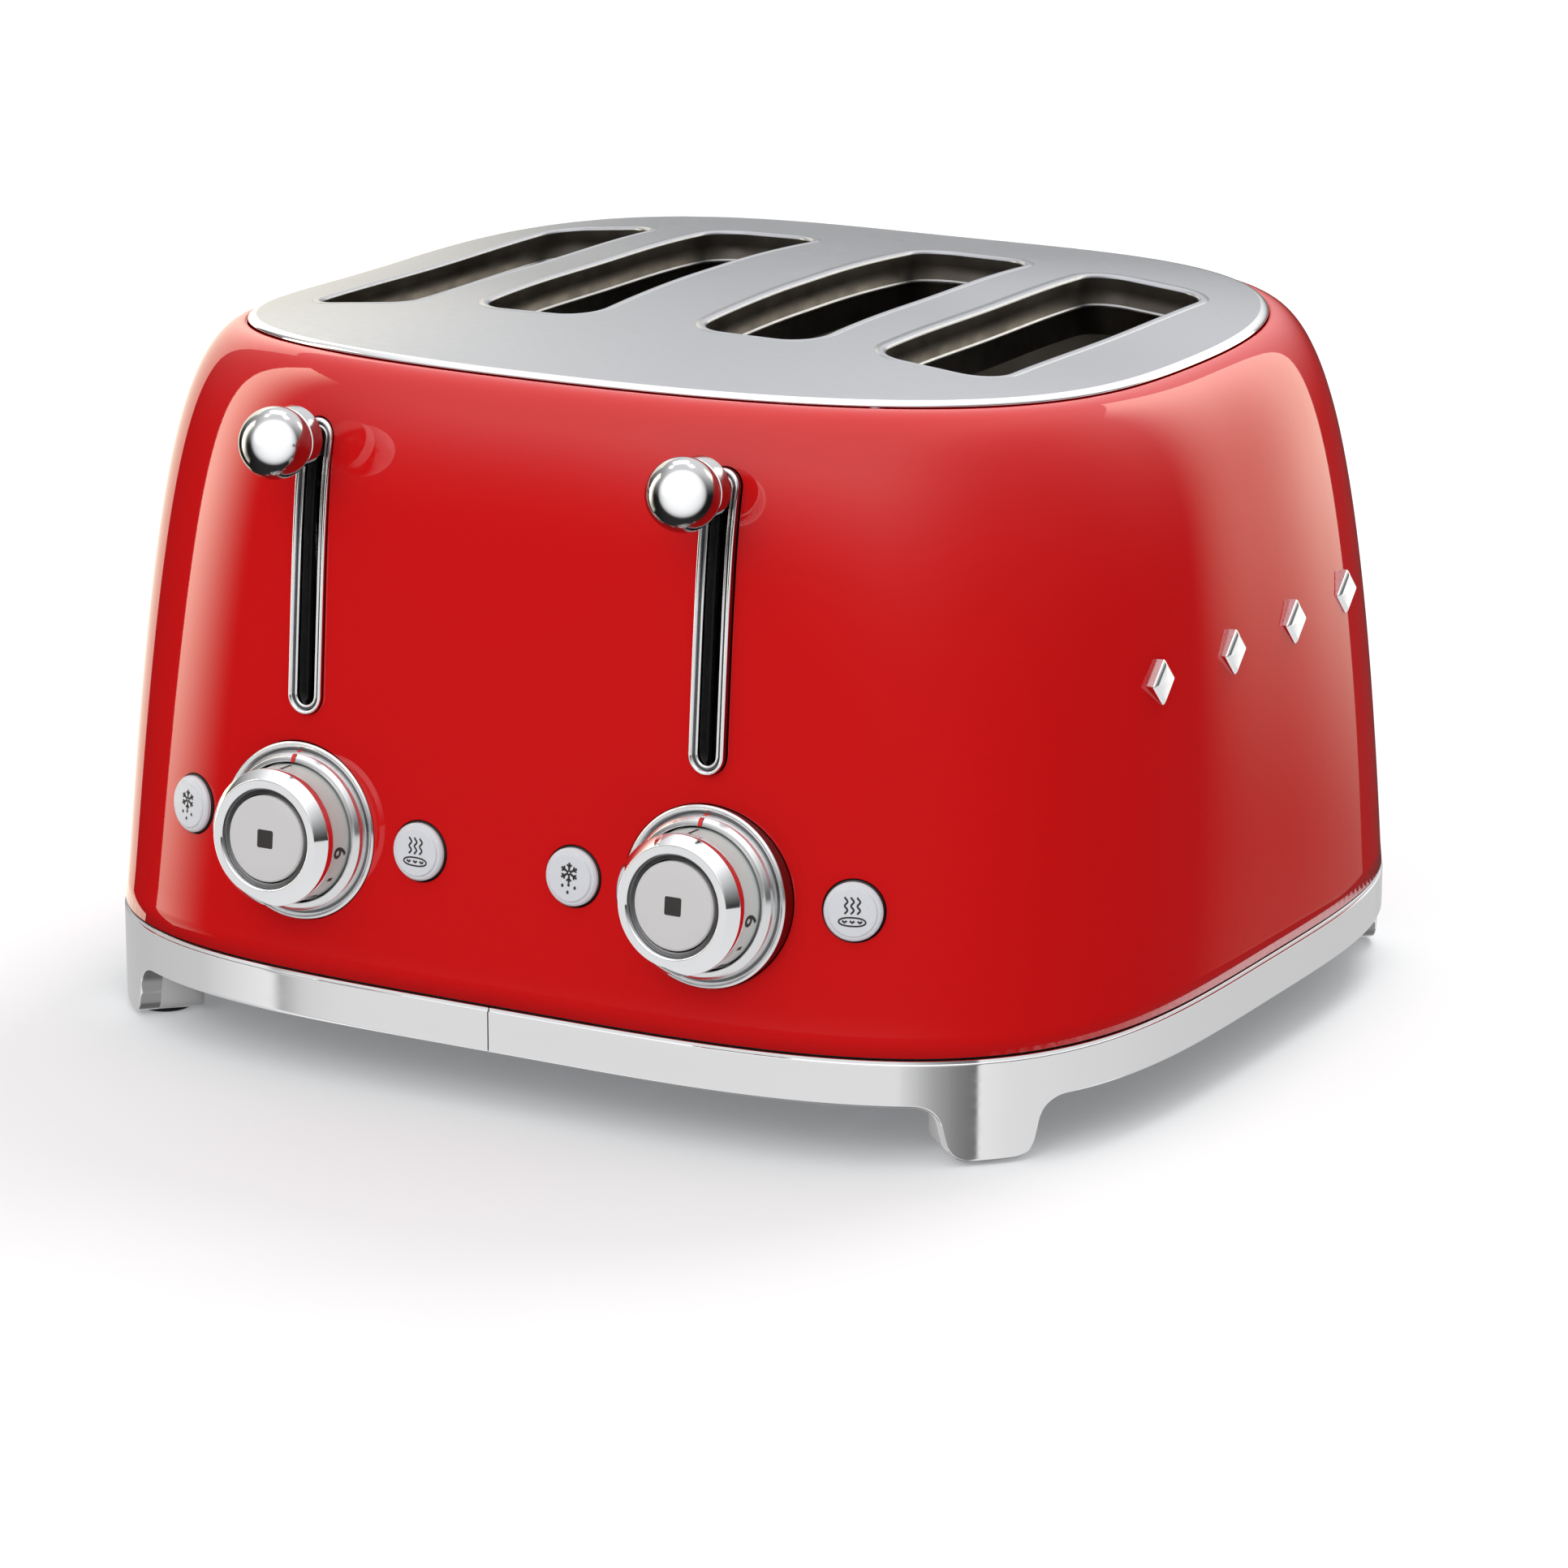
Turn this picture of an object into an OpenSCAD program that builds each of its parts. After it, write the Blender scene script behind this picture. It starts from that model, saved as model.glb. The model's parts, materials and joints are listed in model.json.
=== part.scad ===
// Four-slice pop-up toaster in a round-shouldered steel body, with two independent pairs of slots.
// X runs along the front, -Y is the front, +Z is up. All sizes are in millimetres.

/* [Body shell] */
// Half width of the red shell at its lower edge
shell_a = 163; // [161:0.5:165]
// Half depth of the red shell at its lower edge
shell_b = 148.5; // [147:0.5:150]
// Height of the shell's lower edge above the table
shell_base_z = 30.2; // [30:0.1:31]
// Height of the shell's rim at its lowest
rim_z = 188.9; // [187:0.1:191]
// Thickness of the pressed steel sheet of the shell
sheet = 1.2; // [1:0.1:1.6]

/* [Top plate] */
// Rise of the domed top plate from its edge to its middle
crown = 15.5; // [13:0.5:17]
// Distance from the body's middle to the first slot's centre line
slot_inner_x = 34.8; // [34:0.1:35.5]
// Distance from the body's middle to the second slot's centre line
slot_outer_x = 90.3; // [89.5:0.1:91]
// Clear width of a bread slot
slot_w = 36; // [35:0.5:37]
// Clear length of a bread slot
slot_l = 134.5; // [132:0.5:136]
// Width of the frame round a slot
lip = 3; // [2.5:0.1:3.2]
// Radius of a slot's corners
slot_r = 10; // [8:0.5:11]

/* [Base] */
// Height of the trim's lower edge above the table
trim_z0 = 16.5; // [16:0.1:17]
// Height of the trim's upper edge above the table
trim_z1 = 29.4; // [29:0.1:29.6]
// Depth of the crumb tray
tray_h = 7; // [6:0.2:7]

/* [Controls] */
// Distance from the body's middle to a lever's slot
lever_x = 63; // [62.5:0.1:63.5]
// Height of the lever's ball at rest
lever_z = 178.5; // [178:0.1:179]
// Downward travel of the lever
lever_travel = 58; // [54:1:60]
// Radius of the lever's ball
ball_r = 9.9; // [9.5:0.1:10]
// Distance from the body's middle to a browning dial's axis
dial_x = 64; // [63.5:0.1:64.5]
// Height of the row of dials and buttons
dial_z = 68.5; // [68:0.1:69]
// Radius of the dial's fixed ring
dial_ring_r = 24.6; // [24:0.1:25]
// Distance from the body's middle to the outer push buttons
outer_button_x = 104.3; // [104:0.1:105]
// Distance from the body's middle to the inner push buttons
inner_button_x = 24.2; // [24:0.1:25]
// Radius of a push button
button_r = 8.3; // [8:0.1:8.4]

/* [Hidden] */
$fn = 48;
SIDES = [["left", -1], ["right", 1]];

// The body is moved along Y so that the middle of its footprint box lies on the origin.
ball_y = -151.7;
front_reach = ball_y - ball_r;
body_y = -(front_reach + shell_b + 0.3) / 2;

// Shape of the shell: draw-in of the sides and reach of the round shoulder.
draw_a = 14;
draw_b = 13.5;
shoulder_a = 14.6;
shoulder_b = 16;
rim_rise_x = 3.1;
rim_rise_y = 6.9;
ring_points = 60;
rim_a = half_w(1);
rim_b = half_d(1);
control_tilt = 5.5;

// Crosswise places of the two slots of one side and of its mechanism.
pair_x = (slot_inner_x + slot_outer_x) / 2;
chamber_y = 79.4;
wall_t = 1.2;
rod_dx = 24;
rod_y = -98;
rod_r = 2.5;
rod_bore_r = 2.58;
rod_top_z = 188;
carriage_y = -94.2;
carriage_h = 74;
carriage_z0 = lever_z + 3.5 - carriage_h;
rack_z = 112;
heater_dx = 51.75;
guard_dx = 17.8;
guard_z0 = 50;
guard_z1 = 167;
guard_r = 0.8;
guard_rail_r = 1.15;
pivot_r = 1.2;
board_y = -119.6;
board_top_z = 86;
switch_y = -125.1;
plate_z0 = trim_z0;
plate_z1 = trim_z0 + 1.5;
tray_x = [12, 113];
tray_z0 = 20.2;
notch_gap = 0.5;
foot_angle = 41;
foot_flat = 9;
foot_fillet = 12.3;
foot_drop = 15.4;
mm_per_degree = 3.2;
gland_z = 23.2;
ornament_z = 120;
ornament_y = -60;
ornament_step = 39;

// ---- Curves of the body ----

function half_w(u) = shell_a - draw_a * u * u - shoulder_a * (1 - sqrt(max(0, 1 - pow(u, 6))));
function half_d(u) = shell_b - draw_b * pow(u, 0.7) - shoulder_b * (1 - sqrt(max(0, 1 - pow(u, 10))));
function squareness(u) = 3.7 - 0.58 * u;
function rim_rise(x, y) = rim_rise_x * pow(x / rim_a, 2) + rim_rise_y * pow(y / rim_b, 2);
function level_z(u, x, y) = shell_base_z + (rim_z - shell_base_z) * u + rim_rise(x, y) * pow(u, 1.95);

// A point of a superellipse with half axes a and b at a polar angle.
function oval_radius(angle, a, b, n) =
    pow(pow(abs(cos(angle)) / a, n) + pow(abs(sin(angle)) / b, n), -1 / n);
function oval_point(angle, a, b, n) = oval_radius(angle, a, b, n) * [cos(angle), sin(angle)];
function oval(a, b, n) = [for (i = [0:ring_points - 1]) oval_point(i * 360 / ring_points, a, b, n)];
function base_oval(inset) = oval(shell_a + 0.3 - inset, shell_b + 0.3 - inset, 3.7);

// Share of the shell's height, from 0 to 1, that lies at height z on the front face at x.
function share(x, z, u = 0.5, steps = 6) =
    steps == 0 ? u
    : share(x, z, (z - shell_base_z - (rim_rise_y + rim_rise_x * pow(x / rim_a, 2)) * pow(u, 1.95))
            / (rim_z - shell_base_z), steps - 1);
function front_y(x, z) = let (u = share(x, z), n = squareness(u))
    -half_d(u) * pow(1 - pow(abs(x) / half_w(u), n), 1 / n);
// Turn of the front face away from straight ahead at x, in degrees.
function front_yaw(x, z) = atan((front_y(x + 1, z) - front_y(x - 1, z)) / 2);
function side_x(y, z) = let (u = (z - shell_base_z) / (rim_z - shell_base_z), n = squareness(u))
    half_w(u) * pow(1 - pow(abs(y) / half_d(u), n), 1 / n);

// Height of the top plate's surface where s is the share of the way to its edge.
function plate_z(s, p) = rim_z + 1.5 + crown * (1 - s * s) + rim_rise(p.x, p.y);

// ---- Building blocks ----

// A solid through rings that all have the same number of points, closed at both ends or end to end.
module loft(rings, ring_closed = false) {
    count = len(rings[0]);
    last = len(rings) - 1;
    sides = [for (k = [0:last - (ring_closed ? 0 : 1)]) for (i = [0:count - 1])
        let (k2 = (k + 1) % (last + 1), i2 = (i + 1) % count)
        each [[k * count + i, k2 * count + i, k2 * count + i2],
              [k * count + i, k2 * count + i2, k * count + i2]]];
    ends = ring_closed ? [] : [[for (i = [0:count - 1]) i],
                               [for (i = [count - 1:-1:0]) last * count + i]];
    polyhedron(points = [for (ring = rings) each ring], faces = concat(sides, ends));
}

// A bar with rounded ends that stands along Z, as deep as d along Y from y = 0 to the back.
module stadium_bar(w, z0, z1, d) {
    rotate([-90, 0, 0]) mirror([0, 1, 0]) linear_extrude(d) stadium(w, z0, z1);
}

module stadium(w, z0, z1) {
    translate([-w / 2, z0 + w / 2]) square([w, z1 - z0 - w]);
    translate([0, z0 + w / 2]) circle(d = w);
    translate([0, z1 - w / 2]) circle(d = w);
}

module rounded_rect(w, l, r) {
    square([w - 2 * r, l], center = true);
    square([w, l - 2 * r], center = true);
    for (x = [-1, 1]) for (y = [-1, 1]) translate([x * (w / 2 - r), y * (l / 2 - r)]) circle(r = r);
}

// A box given by its lowest and highest corners.
module box(low, high) {
    translate(low) cube(high - low);
}

// Places children on the front face at x and z, with local +Z pointing out of the body.
module on_front(x, z, yaw = 0) {
    translate([x, front_y(x, z), z]) rotate([0, 0, yaw]) rotate([90 - control_tilt, 0, 0]) children();
}

module at_slots(side) {
    for (x = [slot_inner_x, slot_outer_x]) translate([side * x, 0, 0]) children();
}

// ---- Shell, top and base ----

shell_levels = [for (k = [0:9]) 1 - pow(1 - k / 9, 1.9)];

function shell_ring(u, inset) = let (
        da = (half_w(u) - half_w(u - 0.01)) / 0.01,
        dz = rim_z - shell_base_z,
        along = sqrt(da * da + dz * dz),
        side = inset * dz / along,
        down = -inset * da / along)
    [for (i = [0:ring_points - 1])
        let (p = oval_point(i * 360 / ring_points, half_w(u) - side, half_d(u) - side, squareness(u)))
        [p.x, p.y, level_z(u, p.x, p.y) - (u == 0 ? 0 : down)]];

module outer_shell() {
    rings = concat([for (u = shell_levels) shell_ring(u, 0)],
                   [for (k = [9:-1:0]) shell_ring(shell_levels[k], sheet)]);
    color("#c81416") difference() {
        loft(rings, ring_closed = true);
        for (side = [-1, 1]) {
            lever_window(side, 0.2, 12);
            on_front(side * dial_x, dial_z) translate([0, 0, -14]) cylinder(r = dial_ring_r + 0.2, h = 24);
            for (x = [inner_button_x, outer_button_x])
                on_front(side * x, dial_z, front_yaw(side * x, dial_z))
                    translate([0, 0, -8]) cylinder(r = button_r + 0.3, h = 12);
        }
    }
}

// The upright window for one lever, widened by gap all round.
module lever_window(side, gap, reach) {
    translate([side * lever_x, front_y(lever_x, 101) - reach, 0])
        stadium_bar(10.6 + 2 * gap, 101 - gap, 181.5 + gap, 2 * reach + 12);
}

module top_plate() {
    levels = [0.05, 0.3, 0.55, 0.75, 0.9, 0.985];
    rings = concat(
        [for (s = levels) plate_ring(s, 0, s)],
        [plate_ring(1, -1.1, 1), plate_ring(1, -1.45, 1), plate_ring(0.994, -1.48, 1),
         plate_ring(0.993, -7, 1), plate_ring(0.984, -7, 1), plate_ring(0.984, -wall_t - 1, 1)],
        [for (k = [4:-1:0]) plate_ring(levels[k], -wall_t, levels[k])]);
    color("#c8cdd7") difference() {
        loft([for (k = [len(rings) - 1:-1:0]) rings[k]]);
        for (side = [-1, 1]) at_slots(side) linear_extrude(240) slot_outline(lip);
    }
}

// The outline of a bread slot, widened by out all round.
module slot_outline(out) {
    rounded_rect(slot_w + 2 * out, slot_l + 2 * out, slot_r + out);
}

// Four steel frames let into the top plate, which line its slots down to the heating chambers.
module slot_frames() {
    color("#c8cdd7") intersection() {
        frame_block();
        for (side = [-1, 1]) at_slots(side) linear_extrude(240) difference() {
            slot_outline(lip - 0.05);
            slot_outline(0);
        }
    }
}

// One ring of the top plate: size is its share of the rim's outline, s sets its height, dz lowers it.
function plate_ring(size, dz, s) = [for (i = [0:ring_points - 1])
    let (p = oval_point(i * 360 / ring_points, (rim_a - 0.1) * size, (rim_b - 0.1) * size, squareness(1)))
    [p.x, p.y, plate_z(s, p) + dz]];

// The space below the dome in which the slots' frames reach down.
module frame_block() {
    low = [for (p = plate_ring(0.95, 0, 1)) [p.x, p.y, 180]];
    loft(concat([low], [for (s = [0.95, 0.75, 0.5, 0.25, 0.05]) plate_ring(s, 0.3, s)]));
}

module shell_gasket() {
    color("#161616") translate([0, 0, trim_z1]) linear_extrude(shell_base_z - trim_z1)
        difference() {
            polygon(base_oval(1.4));
            polygon(base_oval(4));
        }
}

// Angles round one half of the trim, each with its share of the foot's drop.
function foot_stations(centre) = concat(
    [for (i = [0:6]) [centre - (foot_flat + foot_fillet * (1 - sin(15 * i))) / mm_per_degree,
                      1 - cos(15 * i)]],
    [for (i = [6:-1:0]) [centre + (foot_flat + foot_fillet * (1 - sin(15 * i))) / mm_per_degree,
                         1 - cos(15 * i)]]);
stations = concat([[-89.94, 0]], [for (a = [-84:5:-52]) [a, 0]], foot_stations(-foot_angle),
                  [for (a = [-30:5:30]) [a, 0]], foot_stations(foot_angle),
                  [for (a = [52:5:84]) [a, 0]], [[89.94, 0]]);

function trim_section(station) = let (
        angle = station[0],
        outer = oval_radius(angle, shell_a + 0.3, shell_b + 0.3, 3.7),
        low = trim_z0 - 0.6 - (foot_drop - 0.6) * station[1],
        deep = 8 + 12 * station[1],
        corners = [[outer, trim_z1], [outer - 7, trim_z1], [outer - 7, trim_z0], [outer - deep, trim_z0 - 0.1],
                   [outer - deep, low], [outer, low]])
    [for (c = corners) [c[0] * cos(angle), c[0] * sin(angle), c[1]]];

module base_trim(side) {
    color("#d4d5d8") difference() {
        mirror([side < 0 ? 1 : 0, 0, 0]) loft([for (st = stations) trim_section(st)]);
        box([side > 0 ? tray_x[0] - 1.1 : -tray_x[1] - 1.1, 60, tray_z0 - notch_gap],
            [side > 0 ? tray_x[1] + 1.1 : -tray_x[0] + 1.1, 200, tray_z0 + tray_h + notch_gap]);
        translate([0, 100, gland_z]) rotate([-90, 0, 0]) cylinder(r = 4.6, h = 100);
        for (y = [-1, 1]) foot_place(side, y) translate([0, 0, -1]) cylinder(r = 7.6, h = 3.4);
    }
}

module foot_place(side, y) {
    reach = oval_radius(foot_angle, shell_a, shell_b, 3.7) - 10;
    translate([side * reach * cos(foot_angle), y * reach * sin(foot_angle), 0]) children();
}

module foot_pads() {
    color("#202020") for (x = [-1, 1]) for (y = [-1, 1]) foot_place(x, y)
        rotate_extrude() polygon([[0, 0], [6.9, 0], [7.5, 0.6], [7.5, 2.4], [0, 2.4]]);
}

module base_plate() {
    color("#9a9da2") difference() {
        translate([0, 0, plate_z0]) linear_extrude(plate_z1 - plate_z0) polygon(base_oval(7.2));
        for (side = [-1, 1]) for (x = [30:12:96]) for (y = [-96, 96])
            translate([side * x, y, 10]) linear_extrude(12) rounded_rect(5, 22, 2.4);
        screw_places() translate([0, 0, 10]) cylinder(r = 1.7, h = 12);
    }
}

module screw_places() {
    for (x = [-121, 0, 121]) for (y = [-88, 88]) translate([x, y, 0]) children();
}

module base_screws() {
    color("#b9bcc0") screw_places() difference() {
        rotate_extrude() polygon([[0, 13.7], [2.4, 13.7], [3, 14.4], [3, plate_z0], [1.5, plate_z0],
                                  [1.5, 23], [1, 24.4], [0, 24.4]]);
        for (turn = [0, 90]) rotate([0, 0, turn]) box([-2, -0.35, 13], [2, 0.35, 14.6]);
    }
}

module cord_gland() {
    back = shell_b + 0.3;
    color("#1c1c1c") translate([0, back - 9, gland_z]) rotate([-90, 0, 0]) rotate_extrude()
        polygon([[3.25, 0], [5.1, 0], [5.1, 1.7], [4.5, 1.8], [4.5, 9.1], [5.4, 9.2], [5.4, 9.9],
                 [4.6, 10.3], [3.25, 10.3]]);
}

// Four polished lozenges on the right side, in a row, with their backs shaped to the shell.
module side_ornaments() {
    color("#dfe2e6") difference() {
        for (k = [0:3]) {
            y = ornament_y + ornament_step * k;
            translate([side_x(y, ornament_z) - 2.4, y, ornament_z]) rotate([0, 90, 0])
                linear_extrude(4.6) polygon([[-6.5, 0], [0, -6.5], [6.5, 0], [0, 6.5]]);
        }
        loft([for (u = shell_levels) shell_ring(u, -0.08)]);
    }
}

// ---- Fixed parts of the controls ----

// A layer that follows the front face in front of the lever, from out to back.
module face_layer(out, back) {
    heights = [for (k = [0:12]) 96 + k * 7.5];
    front = [for (z = heights) [front_y(lever_x, z) - out, z]];
    rear = [for (k = [12:-1:0]) [front_y(lever_x, heights[k]) + back, heights[k]]];
    rotate([90, 0, 90]) translate([0, 0, -12]) linear_extrude(24) polygon(concat(front, rear));
}

module lever_bezel(side) {
    color("#e6e8ea") intersection() {
        translate([side * lever_x, 0, 0]) face_layer(2, 3);
        difference() {
            lever_window(side, 0, 20);
            translate([side * lever_x, -170, 0]) stadium_bar(5.5, 103.5, 179, 60);
        }
    }
}

module slot_seals() {
    color("#0c0c0c") for (side = [-1, 1]) intersection() {
        translate([side * lever_x, 0, 0]) face_layer(-3.1, 4.6);
        translate([side * lever_x, -170, 0]) for (edge = [-1, 1])
            box([edge > 0 ? 1.8 : -7, 0, 99], [edge > 0 ? 7 : -1.8, 60, 183]);
    }
}

module dial_ring(side) {
    color("#d9dcde") on_front(side * dial_x, dial_z) rotate_extrude() polygon([
        [3.08, -4], [5, -4], [5, -1], [23, -1], [23, -11], [dial_ring_r, -11], [dial_ring_r, 1.2],
        [24.1, 1.7], [23.2, 1.6], [22.5, 0.6], [21.7, 3.6], [20.8, 4.7], [19.4, 5], [19.4, 1.5], [3.08, 1.5]]);
}

module dial_pointers() {
    color("#c81416") for (side = [-1, 1]) on_front(side * dial_x, dial_z)
        rotate([0, 0, 90]) rotate([90, 0, 0]) translate([0, 0, -0.6]) linear_extrude(1.2)
            polygon([[22.45, 1.1], [22.72, 1.15], [22.06, 3.75], [21.05, 5], [19.5, 5.33], [19.5, 5.05],
                     [20.86, 4.76], [21.78, 3.65]]);
}

// ---- Chassis and heating ----

module chassis_end(y, front) {
    color("#b4b7bb") difference() {
        union() {
            box([-119, y, 29], [119, y + wall_t, front ? rod_top_z : 181]);
            for (x = [-126, -8, 116]) box([x, y, plate_z1], [x + (x == -8 ? 16 : 10), y + wall_t, 30]);
            for (x = [-126, -8, 116])
                box([x, front ? -94 : y, plate_z1], [x + (x == -8 ? 16 : 10), front ? y + 0.5 : 94, plate_z1 + wall_t]);
            if (front) for (side = [-1, 1])
                box([side * pair_x - 32, -103, rod_top_z - wall_t], [side * pair_x + 32, y + 0.5, rod_top_z]);
        }
        for (side = [-1, 1]) {
            if (front) {
                at_slots(side) box([-2.3, -100, rack_z - lever_travel - 6], [2.3, 0, rack_z + 5]);
                for (dx = [-rod_dx, rod_dx]) translate([side * pair_x + dx, rod_y, 150]) cylinder(r = rod_r, h = 50);
            }
            for (x = guard_places(side))
                translate([x, -100, guard_z0]) rotate([-90, 0, 0]) cylinder(r = pivot_r + 0.08, h = 200);
        }
        screw_places() translate([0, 0, 10]) cylinder(r = 1.5, h = 12);
    }
}

function guard_places(side) = [for (x = [slot_inner_x, slot_outer_x]) for (edge = [-1, 1]) side * x + edge * guard_dx];

module chamber_walls(side) {
    color("#b4b7bb") for (x = [pair_x - 57.3, pair_x + 56.1])
        box([side > 0 ? x : -x - wall_t, -chamber_y, 34], [side > 0 ? x + wall_t : -x, chamber_y, 178]);
}

// A mica board wound with flat heating ribbon.
module heater(side, dx) {
    x = side * (pair_x + dx);
    color("#cbb58c") box([x - 0.5, -chamber_y, 56], [x + 0.5, chamber_y, 164]);
    color("#7d7f84") for (k = [0:8]) box([x - 0.9, -68, 62 + k * 12], [x + 0.9, 68, 63.6 + k * 12]);
}

module guide_rods() {
    color("#c9ccd0") for (side = [-1, 1]) for (dx = [-rod_dx, rod_dx])
        translate([side * pair_x + dx, rod_y, plate_z1]) cylinder(r = rod_r, h = rod_top_z - plate_z1);
}

module latch_magnets() {
    top = carriage_z0 - lever_travel - 0.4;
    color("#6b6e73") for (side = [-1, 1]) translate([side * pair_x, -105, 0]) {
        box([-11, -6, plate_z1], [11, 6, 24]);
        for (x = [-11, 7]) box([x, -6, 23], [x + 4, 6, top]);
        translate([0, 0, 24]) cylinder(r = 6.4, h = top - 26);
        box([-3, -3, 24], [3, 3, top]);
    }
}

module control_board(side) {
    x0 = side > 0 ? 13 : -115;
    color("#1f6b3a") box([x0, board_y, plate_z1], [x0 + 102, board_y + 1.6, board_top_z]);
    color("#3a3d42") {
        on_board(side * dial_x) cylinder(r = 8, h = 4);
        for (x = [inner_button_x, outer_button_x]) on_board(switch_x(side * x)) box([-3, -3, 0], [3, 3, 5]);
        translate([side * pair_x, 0, 0]) box([-45, board_y - 2.2, 34], [-27, board_y, 44]);
    }
}

// Places children on the control board's front face, at the height where the dial's axis meets it.
module on_board(x) {
    translate([x, board_y, axis_z(x)]) rotate([90, 0, 0]) children();
}

// Height at which the tilted axis of a control at x reaches the plane of the switches.
function axis_z(x) = dial_z - tan(control_tilt) * (switch_y - front_y(x, dial_z));
function switch_x(x) = x - tan(front_yaw(x, dial_z)) * (switch_y - front_y(x, dial_z));

module power_board() {
    color("#1f6b3a") {
        box([-44, 104, 31], [44, 105.6, 86]);
        box([-8, 104, plate_z1], [8, 105.6, 31.5]);
    }
    color("#3a3d42") for (x = [-34, -12, 10]) box([x, 105.6, 52], [x + 18, 118, 76]);
}

// ---- Moving parts ----

module carriage(side) {
    z1 = carriage_z0 + carriage_h;
    x = side * pair_x;
    color("#a9adb2") difference() {
        union() {
            box([x - 30, carriage_y, carriage_z0], [x + 30, carriage_y + 1.5, z1]);
            for (dx = [-rod_dx, rod_dx]) for (z = [carriage_z0, z1 - 9])
                translate([x + dx, rod_y, z]) cylinder(r = 4.6, h = 9);
            box([x - 11, -111, carriage_z0], [x + 11, carriage_y + 0.5, carriage_z0 + 2]);
            box([x + side * 14 - 2, -100, 132], [x + side * 14 + 2, carriage_y + 0.5, 135.6]);
            box([side * lever_x - 1.5, ball_y + 10.4, lever_z - 7], [side * lever_x + 1.5, carriage_y + 0.5, lever_z]);
        }
        for (dx = [-rod_dx, rod_dx]) translate([x + dx, rod_y, 90]) cylinder(r = rod_bore_r, h = 120);
    }
}

module bread_racks(side) {
    color("#c2c5c9") {
        at_slots(side) {
            box([-1.2, carriage_y + 1.5, rack_z - 4], [1.2, 74, rack_z + 2]);
            for (y = [-60:12:72]) translate([-10, y, rack_z + 1.5]) rotate([0, 90, 0]) cylinder(r = 0.9, h = 20);
        }
    }
}

module lever_knob(side) {
    color("#e6e8ea") translate([side * lever_x, ball_y, lever_z]) rotate([-90, 0, 0]) {
        sphere(r = ball_r);
        rotate_extrude() polygon([[0, 5.4], [8.5, 5.4], [8.5, 10], [8.1, 10.4], [0, 10.4]]);
    }
}

module return_spring(side) {
    color("#8d9196") translate([side * (pair_x + 14), rod_y, 135.6]) difference() {
        cylinder(r = 3.5, h = rod_top_z - wall_t - 135.6);
        translate([0, 0, -1]) cylinder(r = 2.5, h = 60);
    }
}

module dial(side) {
    color("#dcdfe1") on_front(side * dial_x, dial_z) rotate_extrude() polygon([
        [3.02, 4.6], [16, 4.6], [16, 2.2], [18.9, 2.2], [18.9, 5], [18.4, 11.6], [18.9, 12.2], [18.9, 14.7],
        [16.4, 17.9], [14.2, 17.9], [13.75, 17.4], [13.75, 16.5], [12.3, 16.5], [12.3, 7.6], [3.02, 7.6]]);
}

module dial_shaft(side) {
    reach = (board_y - 4.3 - front_y(dial_x, dial_z)) / cos(control_tilt);
    color("#8d9196") on_front(side * dial_x, dial_z) difference() {
        translate([0, 0, -reach]) cylinder(r = 3, h = reach + 7.6);
        translate([0, 0, -reach - 1]) cylinder(r = 1.68, h = reach + 10);
    }
}

module stop_button(side) {
    reach = (board_y - 6.6 - front_y(dial_x, dial_z)) / cos(control_tilt);
    color("#d6d6d8") on_front(side * dial_x, dial_z) rotate_extrude() polygon([
        [0, -reach], [1.6, -reach], [1.6, 11.7], [12, 11.7], [12, 16.9], [11.6, 17.3], [0, 17.3]]);
}

module push_button(x) {
    yaw = front_yaw(x, dial_z);
    reach = (switch_y - 1.8 - front_y(x, dial_z)) / cos(yaw) / cos(control_tilt);
    color("#d9dade") on_front(x, dial_z, yaw) rotate_extrude() polygon([
        [0, -reach], [2, -reach], [2, -4], [button_r, -4], [button_r, 0.6], [7.6, 1.8], [6.5, 2.5], [0, 2.5]]);
}

module crumb_tray(side) {
    x0 = side > 0 ? tray_x[0] : -tray_x[1];
    x1 = side > 0 ? tray_x[1] : -tray_x[0];
    color("#b9bcc0") translate([0, 0, tray_z0]) {
        difference() {
            intersection() {
                box([x0, -78, 0], [x1, 170, tray_h - 0.4]);
                linear_extrude(tray_h) polygon(base_oval(2.4));
            }
            intersection() {
                box([x0 + 1, -77, 1], [x1 - 1, 170, tray_h + 1]);
                linear_extrude(tray_h + 1) polygon(base_oval(4));
            }
        }
    }
    color("#d4d5d8") intersection() {
        box([x0 - 0.6, 60, tray_z0], [x1 + 0.6, 170, tray_z0 + tray_h]);
        linear_extrude(60) difference() {
            polygon(base_oval(0.2));
            polygon(base_oval(2.4));
        }
    }
}

// A wire guard that leans in on its lower pivot rod to hold the slice upright.
module guard(side, index) {
    x = guard_places(side)[index];
    color("#cfd2d6") {
        translate([x, -82, guard_z0]) rotate([-90, 0, 0]) cylinder(r = pivot_r, h = 164);
        translate([x, -66, guard_z1]) rotate([-90, 0, 0]) cylinder(r = guard_rail_r, h = 132);
        for (y = [-64:16:64]) translate([x, y, guard_z0]) cylinder(r = guard_r, h = guard_z1 - guard_z0);
    }
}

// ---- Assembly ----

module place() {
    translate([0, body_y, 0]) children();
}

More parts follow.
